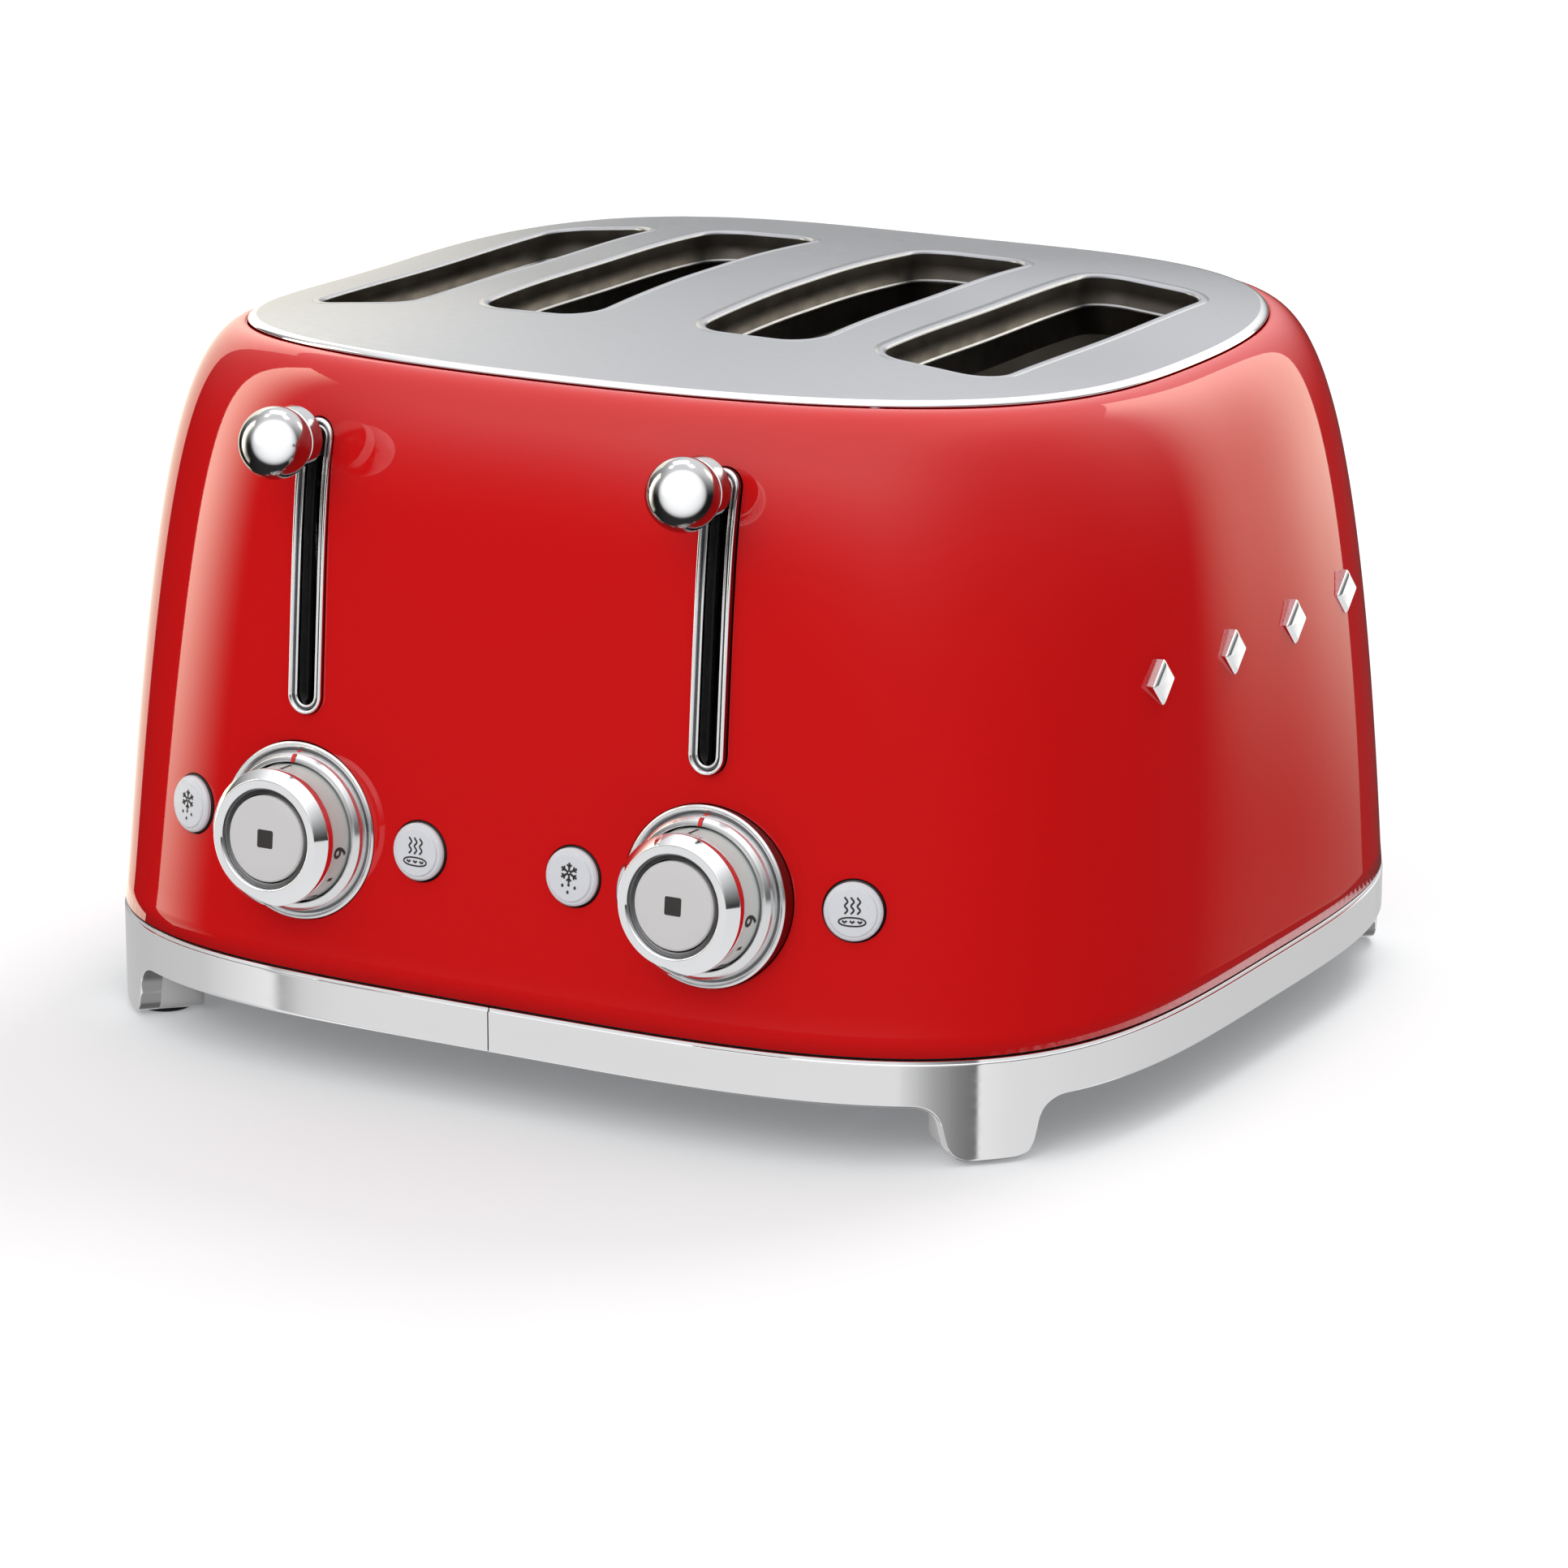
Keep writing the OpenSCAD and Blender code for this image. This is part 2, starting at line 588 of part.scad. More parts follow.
place() outer_shell();
place() top_plate();
place() slot_frames();
place() shell_gasket();
place() base_plate();
place() foot_pads();
place() slot_seals();
place() dial_pointers();
place() chassis_end(-chamber_y - wall_t, true);  // chassis_front_plate
place() chassis_end(chamber_y, false);  // chassis_rear_plate
place() guide_rods();
place() latch_magnets();
place() power_board();
place() cord_gland();
place() side_ornaments();
place() base_screws();
for (s = SIDES) {
    place() base_trim(s[1]);
    place() lever_bezel(s[1]);
    place() dial_ring(s[1]);
    place() chamber_walls(s[1]);
    place() heater(s[1], heater_dx);
    place() heater(s[1], 0);
    place() heater(s[1], -heater_dx);
    place() control_board(s[1]);
    place() carriage(s[1]);
    place() bread_racks(s[1]);
    place() lever_knob(s[1]);
    place() return_spring(s[1]);
    place() dial(s[1]);
    place() dial_shaft(s[1]);
    place() stop_button(s[1]);
    place() push_button(s[1] > 0 ? inner_button_x : -outer_button_x);
    place() push_button(s[1] > 0 ? outer_button_x : -inner_button_x);
    place() crumb_tray(s[1]);
    for (k = [1:4])
        place() guard(s[1], k - 1);
}
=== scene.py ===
"""Four-slice pop-up toaster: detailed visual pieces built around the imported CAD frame.

Sizes in this file are in millimetres in the body's own frame, as in the part's source. The
function to_row() turns them into metres in the row frame, where Blender and the CAD model meet.
"""
import json
import math

import bmesh
import bpy
import numpy as np
from mathutils import Matrix, Vector


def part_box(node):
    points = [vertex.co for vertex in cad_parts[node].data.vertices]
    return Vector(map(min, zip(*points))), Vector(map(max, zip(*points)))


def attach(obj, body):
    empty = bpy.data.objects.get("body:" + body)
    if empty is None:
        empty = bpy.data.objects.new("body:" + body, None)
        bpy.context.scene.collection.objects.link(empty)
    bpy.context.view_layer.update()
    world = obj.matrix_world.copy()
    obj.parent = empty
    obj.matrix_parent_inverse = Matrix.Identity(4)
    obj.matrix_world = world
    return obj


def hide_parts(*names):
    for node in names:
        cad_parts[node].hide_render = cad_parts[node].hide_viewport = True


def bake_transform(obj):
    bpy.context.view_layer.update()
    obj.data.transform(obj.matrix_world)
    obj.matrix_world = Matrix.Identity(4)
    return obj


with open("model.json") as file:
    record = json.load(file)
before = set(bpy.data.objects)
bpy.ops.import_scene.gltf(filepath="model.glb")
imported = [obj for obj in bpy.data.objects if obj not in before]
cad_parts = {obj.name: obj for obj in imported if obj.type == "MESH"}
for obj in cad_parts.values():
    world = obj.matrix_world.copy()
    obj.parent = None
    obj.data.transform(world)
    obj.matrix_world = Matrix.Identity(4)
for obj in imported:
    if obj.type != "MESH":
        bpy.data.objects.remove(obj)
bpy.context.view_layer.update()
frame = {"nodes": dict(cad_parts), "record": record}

MM = 0.001
SIDES = (("left", -1), ("right", 1))

# ---- driving dimensions

shell_low, shell_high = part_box("outer_shell")
SHELL_A = shell_high.x / MM
SHELL_B = (shell_high.y - shell_low.y) / 2 / MM
BODY_Y = (shell_high.y + shell_low.y) / 2 / MM
SHELL_Z = shell_low.z / MM
RIM_Z = 188.9
SHEET = 1.2
DRAW_A, DRAW_B = 14.0, 13.5
SHOULDER_A, SHOULDER_B = 14.6, 16.0
RISE_X, RISE_Y = 3.1, 6.9
RISE_POWER = 1.95
PLATE_Z, CROWN = RIM_Z + 1.5, 15.5
BASE_POWER, RIM_POWER = 3.7, 3.12
TRIM_Z0, TRIM_Z1 = 16.5, 29.4
TRIM_A, TRIM_B = SHELL_A + 0.3, SHELL_B + 0.3
TRIM_WALL = 7.0
SLOT_X = (34.8, 90.3)
SLOT_W, SLOT_L, SLOT_R, LIP = 36.0, 134.5, 10.0, 3.0
LEVER_X, LEVER_Z, BALL_Y, BALL_R = 63.0, 178.5, -151.7, 9.9
LEVER_SLOT = (5.5, 103.5, 179.0)
BEZEL_W = 2.55
DIAL_X, DIAL_Z, DIAL_RING_R = 64.0, 68.5, 24.6
BUTTON_X, BUTTON_R = (24.2, 104.3), 8.3
DIGIT_STEP = 52.4
TILT = math.radians(5.5)
FOOT_ANGLE, FOOT_DROP, FOOT_DEPTH, FOOT_RIM = 41.0, 15.5, 20.0, 6.0
TRAY_X, TRAY_WINDOW_X, TRAY_WINDOW_Z = (11.3, 113.7), (10.9, 114.1), (19.7, 27.7)
GLAND_Z, GLAND_R = 23.2, 4.6
ROUND_STEPS = 288

# ---- light and view

HORIZON_LIGHT, ZENITH_LIGHT, SIDE_SHARE = 0.05, 1.5, 0.25
FLOOR_LIGHT, TRIM_FLOOR_LIGHT = 0.8, 0.24
FLOOR_HALF, CARD_HALF = 12.0, 3.0
WARM, NEUTRAL = (1.0, 0.93, 0.76), (1.0, 1.0, 1.0)
VIEW_AZIMUTH, VIEW_ELEVATION, VIEW_DISTANCE = math.radians(29.65), math.radians(15.57), 1708.3

# ---- curves of the body


def half_w(u):
    """Half width of the shell at share u of its height: a leaning wall with a rounded shoulder."""
    return SHELL_A - DRAW_A * u**2 - SHOULDER_A * (1 - np.sqrt(np.maximum(0, 1 - u**6)))


def half_d(u):
    """Half depth of the shell at share u of its height, built as half_w is."""
    shoulder = SHOULDER_B * (1 - np.sqrt(np.maximum(0, 1 - u**10)))
    return SHELL_B - DRAW_B * np.maximum(u, 0) ** 0.7 - shoulder


def squareness(u):
    """Power of the superellipse in plan, at a share of the shell's height."""
    return BASE_POWER + (RIM_POWER - BASE_POWER) * u


RIM_A, RIM_B = float(half_w(1.0)), float(half_d(1.0))


def rim_rise(x, y):
    return RISE_X * (x / RIM_A) ** 2 + RISE_Y * (y / RIM_B) ** 2


def full_turn(steps):
    return np.linspace(0, 2 * math.pi, steps, endpoint=False)


def oval(angles, a, b, n):
    """Points of a superellipse at polar angles, as two columns."""
    c, s = np.cos(angles), np.sin(angles)
    r = ((np.abs(c) / a) ** n + (np.abs(s) / b) ** n) ** (-1 / n)
    return np.stack([r * c, r * s], 1)


def oval_reach(x, a, b, n):
    """How far a superellipse reaches along its half size b, at distance x along its half size a."""
    return b * (1 - (np.abs(x) / a) ** n) ** (1 / n)


def share(x, z):
    """Share of the shell's height, from 0 to 1, at height z on the front face."""
    u = np.full(np.shape(z), 0.5)
    for _ in range(8):
        u = (z - SHELL_Z - (RISE_Y + RISE_X * (x / RIM_A) ** 2) * u**RISE_POWER) / (RIM_Z - SHELL_Z)
    return u


def front_y(x, z):
    u = share(x, z)
    return -oval_reach(x, half_w(u), half_d(u), squareness(u))


def front_yaw(x, z):
    return math.atan(float(front_y(x + 1, z) - front_y(x - 1, z)) / 2)


def plate_z(s, x, y):
    """Height of the domed top plate where s is the share of the way to its edge."""
    return PLATE_Z + CROWN * (1 - s**2) + rim_rise(x, y)


def rim_share(x, y):
    """Share of the way from the middle of the top plate to its edge."""
    return ((np.abs(x) / RIM_A) ** RIM_POWER + (np.abs(y) / RIM_B) ** RIM_POWER) ** (1 / RIM_POWER)


def plate_surface(x, y):
    """Height of the top plate at any point of its plan."""
    return plate_z(np.minimum(rim_share(x, y), 1), x, y)


# ---- mesh building blocks


def to_row(points):
    """Body-frame millimetres to row-frame metres."""
    return (np.asarray(points, float) + (0, BODY_Y, 0)) * MM


def to_body(point):
    """A row-frame point, in body-frame millimetres."""
    return point / MM - Vector((0, BODY_Y, 0))


def add_to_scene(thing):
    bpy.context.scene.collection.objects.link(thing)


def new_object(name, vertices, faces, smooth=True):
    mesh = bpy.data.meshes.new(name)
    mesh.from_pydata([tuple(v) for v in vertices], [], faces)
    mesh.polygons.foreach_set("use_smooth", [smooth] * len(mesh.polygons))
    mesh.update()
    piece = bpy.data.objects.new(name, mesh)
    add_to_scene(piece)
    return piece


def grid_faces(rows, columns, rows_closed, columns_closed):
    faces = []
    for k in range(rows if rows_closed else rows - 1):
        k2 = (k + 1) % rows
        for i in range(columns if columns_closed else columns - 1):
            i2 = (i + 1) % columns
            faces.append((k * columns + i, k * columns + i2, k2 * columns + i2, k2 * columns + i))
    return faces


def loft(name, rings, closed=False, caps=True, row_frame=False):
    """A skin through rings of points; closed joins the last ring to the first, caps close the ends."""
    rows, columns = len(rings), len(rings[0])
    faces = grid_faces(rows, columns, closed, True)
    if caps and not closed:
        faces.append(tuple(range(columns))[::-1])
        faces.append(tuple((rows - 1) * columns + i for i in range(columns)))
    points = np.concatenate(rings)
    piece = new_object(name, points if row_frame else to_row(points), faces)
    outward_normals(piece)
    return piece


def outward_normals(piece):
    bm = bmesh.new()
    bm.from_mesh(piece.data)
    bmesh.ops.recalc_face_normals(bm, faces=bm.faces)
    bm.to_mesh(piece.data)
    bm.free()


def fillet(points, radius, steps=4):
    """The polyline with each inner corner rounded to radius, or less where a side is short."""
    points = [Vector(p) for p in points]
    result = [points[0]]
    for before, corner, after in zip(points, points[1:], points[2:]):
        back, on = (before - corner), (after - corner)
        turn = back.angle(on)
        reach = min(radius / math.tan(turn / 2), 0.49 * back.length, 0.49 * on.length)
        start, end = corner + back.normalized() * reach, corner + on.normalized() * reach
        for k in range(steps + 1):
            t = k / steps
            result.append(start.lerp(corner, t).lerp(corner.lerp(end, t), t))
    result.append(points[-1])
    return [tuple(p) for p in result]


def lathe(name, profile, place, steps=128, closed=False):
    """A turned piece: profile is (radius, height) in mm, place a matrix from local mm to body mm.

    A closed profile starts and ends at the same point and encloses the section of a ring.
    """
    if closed:
        profile = profile[:-1]
    angles = full_turn(steps)
    rings = []
    for radius, height in profile:
        radius = max(radius, 0.001)
        ring = np.stack([radius * np.cos(angles), radius * np.sin(angles), np.full(steps, height)], 1)
        rings.append(transformed(ring, place))
    return loft(name, rings, closed=closed)


def paint_rings(piece, place, material, chosen):
    """Paints the faces of a turned piece for which chosen(radius, height) is true."""
    piece.data.materials.append(material)
    inverse = place.inverted()
    for face in piece.data.polygons:
        local = inverse @ to_body(face.center)
        face.material_index = int(chosen(math.hypot(local.x, local.y), local.z))


def transformed(points, matrix):
    points = np.asarray(points, float)
    return points @ np.array(matrix.to_3x3()).T + np.array(matrix.translation)


def laid(points, place):
    """Points in a place's own millimetres, as row-frame metres."""
    return to_row(transformed(points, place))


def on_front(x, z, yaw=0.0):
    """Matrix that puts local +Z out of the front face at x and z, with local +Y up."""
    turn = Matrix.Rotation(yaw, 4, "Z") @ Matrix.Rotation(math.pi / 2 - TILT, 4, "X")
    return Matrix.Translation((x, float(front_y(x, z)), z)) @ turn


def prism(name, outline, z0, z1, place=Matrix.Identity(4)):
    """A closed prism over an outline of (x, y) points, used to cut openings."""
    outline = np.asarray(outline, float)
    rings = [transformed(np.column_stack([outline, np.full(len(outline), z)]), place) for z in (z0, z1)]
    return loft(name, rings)


def arc(centre, radius, start, end, steps=12):
    angles = np.radians(np.linspace(start, end, steps + 1))
    return [(centre[0] + radius * math.cos(a), centre[1] + radius * math.sin(a)) for a in angles]


def stadium(radius, z0, z1, steps=16, straight=26):
    """Outline of an upright slot with round ends, of that end radius, between z0 and z1."""
    top = arc((0, z1 - radius), radius, 0, 180, steps)
    bottom = arc((0, z0 + radius), radius, 180, 360, steps)
    side = np.linspace(z1 - radius, z0 + radius, straight)[1:-1]
    return top + [(-radius, z) for z in side] + bottom + [(radius, z) for z in side[::-1]]


def rounded_rect(width, length, radius, steps=10, straight=24):
    """Outline of a rounded rectangle, with extra points along its long sides."""
    x, y = width / 2 - radius, length / 2 - radius
    along = np.linspace(-y, y, straight)[1:-1]
    points = [(width / 2, v) for v in along]
    points += arc((x, y), radius, 0, 90, steps) + arc((-x, y), radius, 90, 180, steps)
    points += [(-width / 2, v) for v in along[::-1]]
    return points + arc((-x, -y), radius, 180, 270, steps) + arc((x, -y), radius, 270, 360, steps)


def apply_modifiers(piece):
    bpy.context.view_layer.update()
    evaluated = piece.evaluated_get(bpy.context.evaluated_depsgraph_get())
    mesh = bpy.data.meshes.new_from_object(evaluated)
    piece.modifiers.clear()
    piece.data = mesh


def cut(piece, cutters, keep_shading=True):
    """Cuts openings and keeps the uncut surface's shading round them."""
    source = piece.copy()
    source.data = piece.data.copy()
    add_to_scene(source)
    for cutter in cutters:
        step = piece.modifiers.new("cut", "BOOLEAN")
        step.operation = "DIFFERENCE"
        step.solver = "EXACT"
        step.object = cutter
    if keep_shading:
        shade = piece.modifiers.new("shade", "DATA_TRANSFER")
        shade.object = source
        shade.use_loop_data = True
        shade.data_types_loops = {"CUSTOM_NORMAL"}
        shade.loop_mapping = "POLYINTERP_NEAREST"
    apply_modifiers(piece)
    for spare in [source, *cutters]:
        bpy.data.objects.remove(spare)
    return piece


def sharpen(piece, degrees=35):
    """Marks edges sharper than an angle so that flat faces meet in clean lines."""
    bm = bmesh.new()
    bm.from_mesh(piece.data)
    for edge in bm.edges:
        if len(edge.link_faces) == 2:
            edge.smooth = edge.calc_face_angle() < math.radians(degrees)
    bm.to_mesh(piece.data)
    bm.free()
    return piece


def finish_piece(piece, body, slot, *replaced, material=None):
    """Gives a piece its body and the material of its slot, and hides the CAD nodes that it stands for."""
    piece.data.materials.clear()
    piece.data.materials.append(material or MATERIALS[slot])
    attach(piece, body)
    if material is BALL_CHROME:
        BALLS.objects.link(piece)
    elif slot in LIT_BY:
        LIT_BY[slot].objects.link(piece)
    if slot != "satin_trim":
        ALL_BUT_TRIM.objects.link(piece)
    if replaced:
        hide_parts(*replaced)
    return piece


# ---- materials


def fill(node, values):
    """Sets inputs of a shader node by name."""
    for name, value in values.items():
        node.inputs[name].default_value = value


def ramp(nodes, links, value, start, end, level_start, level_end, shape="SMOOTHSTEP"):
    """A change of level as value goes from start to end."""
    step = nodes.new("ShaderNodeMapRange")
    step.interpolation_type = shape
    fill(step, {"From Min": start, "From Max": end, "To Min": level_start, "To Max": level_end})
    links.new(value, step.inputs["Value"])
    return step.outputs["Result"]


class Finish:
    """A principled material with procedural variation in colour, roughness and height."""

    def __init__(self, name, colour, metallic, roughness, coat=0.0, coat_roughness=0.03, specular=0.5):
        self.material = bpy.data.materials.new(name)
        self.material.use_nodes = True
        self.nodes = self.material.node_tree.nodes
        self.links = self.material.node_tree.links
        self.shader = self.nodes["Principled BSDF"]
        self.colour = colour
        fill(self.shader, {"Base Color": (*colour, 1), "Metallic": metallic, "Roughness": roughness,
                           "Specular IOR Level": specular, "Coat Weight": coat,
                           "Coat Roughness": coat_roughness})
        self.position = self.nodes.new("ShaderNodeNewGeometry").outputs["Position"]

    def noise(self, scale, detail=3.0, stretch=(1, 1, 1)):
        """Noise of about scale features per metre, stretched along the axes."""
        mapping = self.nodes.new("ShaderNodeMapping")
        fill(mapping, {"Scale": stretch})
        self.links.new(self.position, mapping.inputs["Vector"])
        noise = self.nodes.new("ShaderNodeTexNoise")
        fill(noise, {"Scale": scale, "Detail": detail})
        self.links.new(mapping.outputs["Vector"], noise.inputs["Vector"])
        return noise.outputs["Fac"]

    def vary_roughness(self, value, low, high):
        spread = ramp(self.nodes, self.links, value, 0.3, 0.7, low, high, "LINEAR")
        self.links.new(spread, self.shader.inputs["Roughness"])

    def vary_colour(self, value, other):
        mix = self.nodes.new("ShaderNodeMix")
        mix.data_type = "RGBA"
        mix.inputs["A"].default_value = (*self.colour, 1)
        mix.inputs["B"].default_value = (*other, 1)
        self.links.new(value, mix.inputs["Factor"])
        self.links.new(mix.outputs["Result"], self.shader.inputs["Base Color"])

    def bump(self, value, height, strength=1.0):
        bump = self.nodes.new("ShaderNodeBump")
        fill(bump, {"Strength": strength, "Distance": height})
        self.links.new(value, bump.inputs["Height"])
        self.links.new(bump.outputs["Normal"], self.shader.inputs["Normal"])


def varied(name, colour, metallic, roughness, patches, gloss, relief, **extra):
    """A material with patches of a second colour, uneven gloss and fine relief.

    patches is (noise, colour), gloss is (noise, low, high) and relief is (noise, height, strength),
    and each noise holds the arguments of Finish.noise.
    """
    finish = Finish(name, colour, metallic, roughness, **extra)
    finish.vary_colour(finish.noise(*patches[0]), patches[1])
    finish.vary_roughness(finish.noise(*gloss[0]), *gloss[1:])
    finish.bump(finish.noise(*relief[0]), *relief[1:])
    return finish.material


def chrome(name, tone, low, high):
    return varied(name, (tone, tone, tone * 1.01), 1.0, low,
                  ((40,), (tone * 0.95, tone * 0.96, tone * 0.98)),
                  ((260, 3), low, high), ((700, 2), 0.000004, 0.2))


def plastic(name, colour, other, low, high, grain=0.00001):
    return varied(name, colour, 0.0, low, ((50, 3), other), ((200, 3), low, high), ((1500, 2), grain, 0.35))


MATERIALS = {
    "red_enamel": varied("red_enamel", (0.52, 0.0064, 0.0072), 0.0, 0.4, ((5,), (0.51, 0.0060, 0.0068)),
                         ((60,), 0.36, 0.44), ((900, 2), 0.00002, 0.2),
                         coat=1.0, coat_roughness=0.035, specular=0.0),
    "satin_steel": varied("satin_steel", (0.42, 0.43, 0.455), 1.0, 0.34, ((14,), (0.40, 0.41, 0.435)),
                          ((300, 4, (1, 8, 1)), 0.30, 0.40), ((1400, 3, (1, 0.12, 1)), 0.00001, 0.35)),
    "satin_trim": varied("satin_trim", (0.86, 0.86, 0.87), 1.0, 0.08, ((18,), (0.84, 0.84, 0.85)),
                         ((60, 3, (1, 1, 6)), 0.05, 0.11), ((300, 2), 0.000001, 0.1)),
    "polished_chrome": chrome("polished_chrome", 0.88, 0.04, 0.10),
    "satin_chrome": chrome("satin_chrome", 0.80, 0.16, 0.24),
    "zinc_sheet": varied("zinc_sheet", (0.42, 0.42, 0.43), 1.0, 0.4, ((90, 5), (0.30, 0.29, 0.28)),
                         ((160, 4), 0.32, 0.52), ((500, 3), 0.00002, 0.4)),
    "wire": varied("bright_wire", (0.66, 0.65, 0.63), 1.0, 0.22, ((120, 4), (0.46, 0.42, 0.38)),
                   ((200,), 0.16, 0.34), ((1500, 2), 0.00001, 0.3)),
    "mica": varied("mica_board", (0.46, 0.38, 0.26), 0.0, 0.45, ((60, 6), (0.28, 0.21, 0.13)),
                   ((90,), 0.35, 0.6), ((400, 5), 0.00004, 0.5)),
    "circuit_board": varied("circuit_board", (0.02, 0.14, 0.05), 0.0, 0.35, ((130, 2), (0.04, 0.22, 0.09)),
                            ((80,), 0.28, 0.45), ((600, 3), 0.00002, 0.4)),
    "magnet": varied("magnet_core", (0.16, 0.10, 0.07), 0.8, 0.5, ((80, 4), (0.30, 0.17, 0.09)),
                     ((150,), 0.4, 0.6), ((900, 3, (1, 1, 4)), 0.00003, 0.6)),
    "red_paint": plastic("red_paint", (0.60, 0.01, 0.01), (0.50, 0.01, 0.01), 0.3, 0.4),
    "grey_button": plastic("grey_button", (0.60, 0.61, 0.64), (0.56, 0.57, 0.60), 0.24, 0.34),
    "black_rubber": plastic("black_rubber", (0.012, 0.012, 0.012), (0.02, 0.02, 0.02), 0.5, 0.7, 0.00003),
    "black_plastic": plastic("black_plastic", (0.008, 0.008, 0.008), (0.014, 0.014, 0.014), 0.35, 0.5),
}
INK = plastic("dark_ink", (0.03, 0.025, 0.025), (0.04, 0.035, 0.035), 0.45, 0.6)
# Darkened chrome painted into grooves, gaps and edges by the shell: painted shade.
SHADE_CHROME = chrome("painted_shade_chrome", 0.22, 0.12, 0.2)
# A darker copy of the chrome for the levers' balls: painted shade that dims the sky seen in them.
BALL_CHROME = chrome("ball_chrome", 0.42, 0.10, 0.14)
SKIRT = plastic("dial_skirt", (0.60, 0.64, 0.62), (0.56, 0.60, 0.58), 0.3, 0.4)
COLLAR_GREY = chrome("dial_collar", 0.40, 0.3, 0.4)
STOP_GREY = plastic("stop_grey", (0.56, 0.55, 0.55), (0.52, 0.51, 0.51), 0.3, 0.4)

# Steel that heat and crumbs have browned, for the walls of the slots, darkened further as painted shade
# inside the slots.
SHADED_SLOT_WALL = varied("burnt_steel_and_slot_shade", (0.12, 0.105, 0.09), 0.9, 0.4, ((45, 4), (0.05, 0.042, 0.035)),
                   ((120, 3), 0.3, 0.48), ((600, 3), 0.00001, 0.3))

# Stage cards that light some pieces only do so through these collections.
POLISHED, TRIM, BALLS, INSIDE, ALL_BUT_TRIM = map(
    bpy.data.collections.new, ("polished", "trim", "balls", "inside", "all_but_trim"))
LIT_BY = {"polished_chrome": POLISHED, "satin_chrome": POLISHED, "satin_steel": POLISHED, "satin_trim": TRIM}

# ---- shell, top and base


def shell_ring(u, inset, angles):
    """One ring of the shell at height share u, set in from the outer surface by inset."""
    slope = (half_w(u) - half_w(u - 0.01)) / 0.01
    rise = RIM_Z - SHELL_Z
    along = math.hypot(slope, rise)
    side, down = inset * rise / along, -inset * slope / along
    if u == 0:
        down = 0
    xy = oval(angles, half_w(u) - side, half_d(u) - side, squareness(u))
    z = SHELL_Z + rise * u + rim_rise(*xy.T) * u**RISE_POWER - down
    return np.column_stack([xy, z])


def lever_cutter(side, gap):
    """A bar through the front face with the outline of a lever's bezel."""
    width, z0, z1 = LEVER_SLOT
    outline = stadium(width / 2 + BEZEL_W + gap, z0 - BEZEL_W - gap, z1 + BEZEL_W + gap)
    place = Matrix.Translation((side * LEVER_X, -100, 0)) @ Matrix.Rotation(math.pi / 2, 4, "X")
    return prism("cutter", outline, 0, 70, place)


def round_cutter(x, yaw, radius, depth):
    return prism("cutter", arc((0, 0), radius, 0, 360, 96)[:-1], -depth, depth, on_front(x, DIAL_Z, yaw))


def build_shell():
    """The enamelled sheet, with its rings closer together towards the shoulder."""
    angles = full_turn(ROUND_STEPS)
    steps = 56
    levels = [float(1 - (1 - k / steps) ** 1.9) for k in range(steps + 1)]
    rings = [shell_ring(u, 0, angles) for u in levels]
    rings += [shell_ring(u, SHEET, angles) for u in levels[::-2]]
    shell = loft("shell_skin", rings, closed=True)
    cutters = []
    for _, side in SIDES:
        cutters.append(lever_cutter(side, 0.25))
        cutters.append(round_cutter(side * DIAL_X, 0, DIAL_RING_R + 0.25, 14))
        for x in BUTTON_X:
            cutters.append(round_cutter(side * x, front_yaw(side * x, DIAL_Z), BUTTON_R + 0.3, 8))
    cut(shell, cutters)
    finish_piece(shell, "root", "red_enamel", "outer_shell")


def plate_ring(inset, height, angles):
    """A ring of the top plate near its rim, set in by inset and raised by height."""
    scale = 1 - inset / (RIM_A + RIM_B) * 2
    xy = oval(angles, RIM_A * scale, RIM_B * scale, RIM_POWER)
    return np.column_stack([xy, plate_z(1.0, *xy.T) + height])


def build_top_plate():
    """The domed plate with its rolled edge, its four slots and their frames."""
    angles = full_turn(ROUND_STEPS)
    rings = []
    for s in np.concatenate([[0.02], np.linspace(0.06, 0.97, 40)]):
        xy = oval(angles, RIM_A * s, RIM_B * s, RIM_POWER)
        rings.append(np.column_stack([xy, plate_z(s, *xy.T)]))
    top_rings = len(rings)
    edge = [(2.3, 0.5), (1.7, 0.38), (1.15, 0.12), (0.7, -0.25), (0.35, -0.65), (0.2, -1.05), (0.3, -1.35),
            (0.8, -1.46), (0.95, -1.6), (1.0, -6.5), (1.9, -6.5), (1.9, -2.4)]
    rings += [plate_ring(inset, height, angles) for inset, height in edge]
    rings += [ring - (0, 0, 1.0) for ring in rings[top_rings - 1::-4]]
    plate = loft("top_skin", rings)
    cut(plate, [prism("cutter", slot_outline(LIP), 170, 230, Matrix.Translation((side * x, 0, 0)))
                for _, side in SIDES for x in SLOT_X])
    finish_piece(plate, "root", "satin_steel", "top_plate")
    polish_edge(plate)
    frames = [build_slot_frame(f"slot_frame_{where}_{name}", side * x)
              for name, side in SIDES for where, x in zip(("inner", "outer"), SLOT_X)]
    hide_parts("slot_frames")


def polish_edge(plate):
    """Gives the rolled rim of the top plate a polished finish."""
    plate.data.materials.append(MATERIALS["polished_chrome"])
    polished_from = 0.984
    for face in plate.data.polygons:
        x, y, _ = to_body(face.center)
        face.material_index = int(rim_share(x, y) > polished_from)


def slot_outline(out):
    """Outline of a bread slot, widened by out all round."""
    return rounded_rect(SLOT_W + 2 * out, SLOT_L + 2 * out, SLOT_R + out)


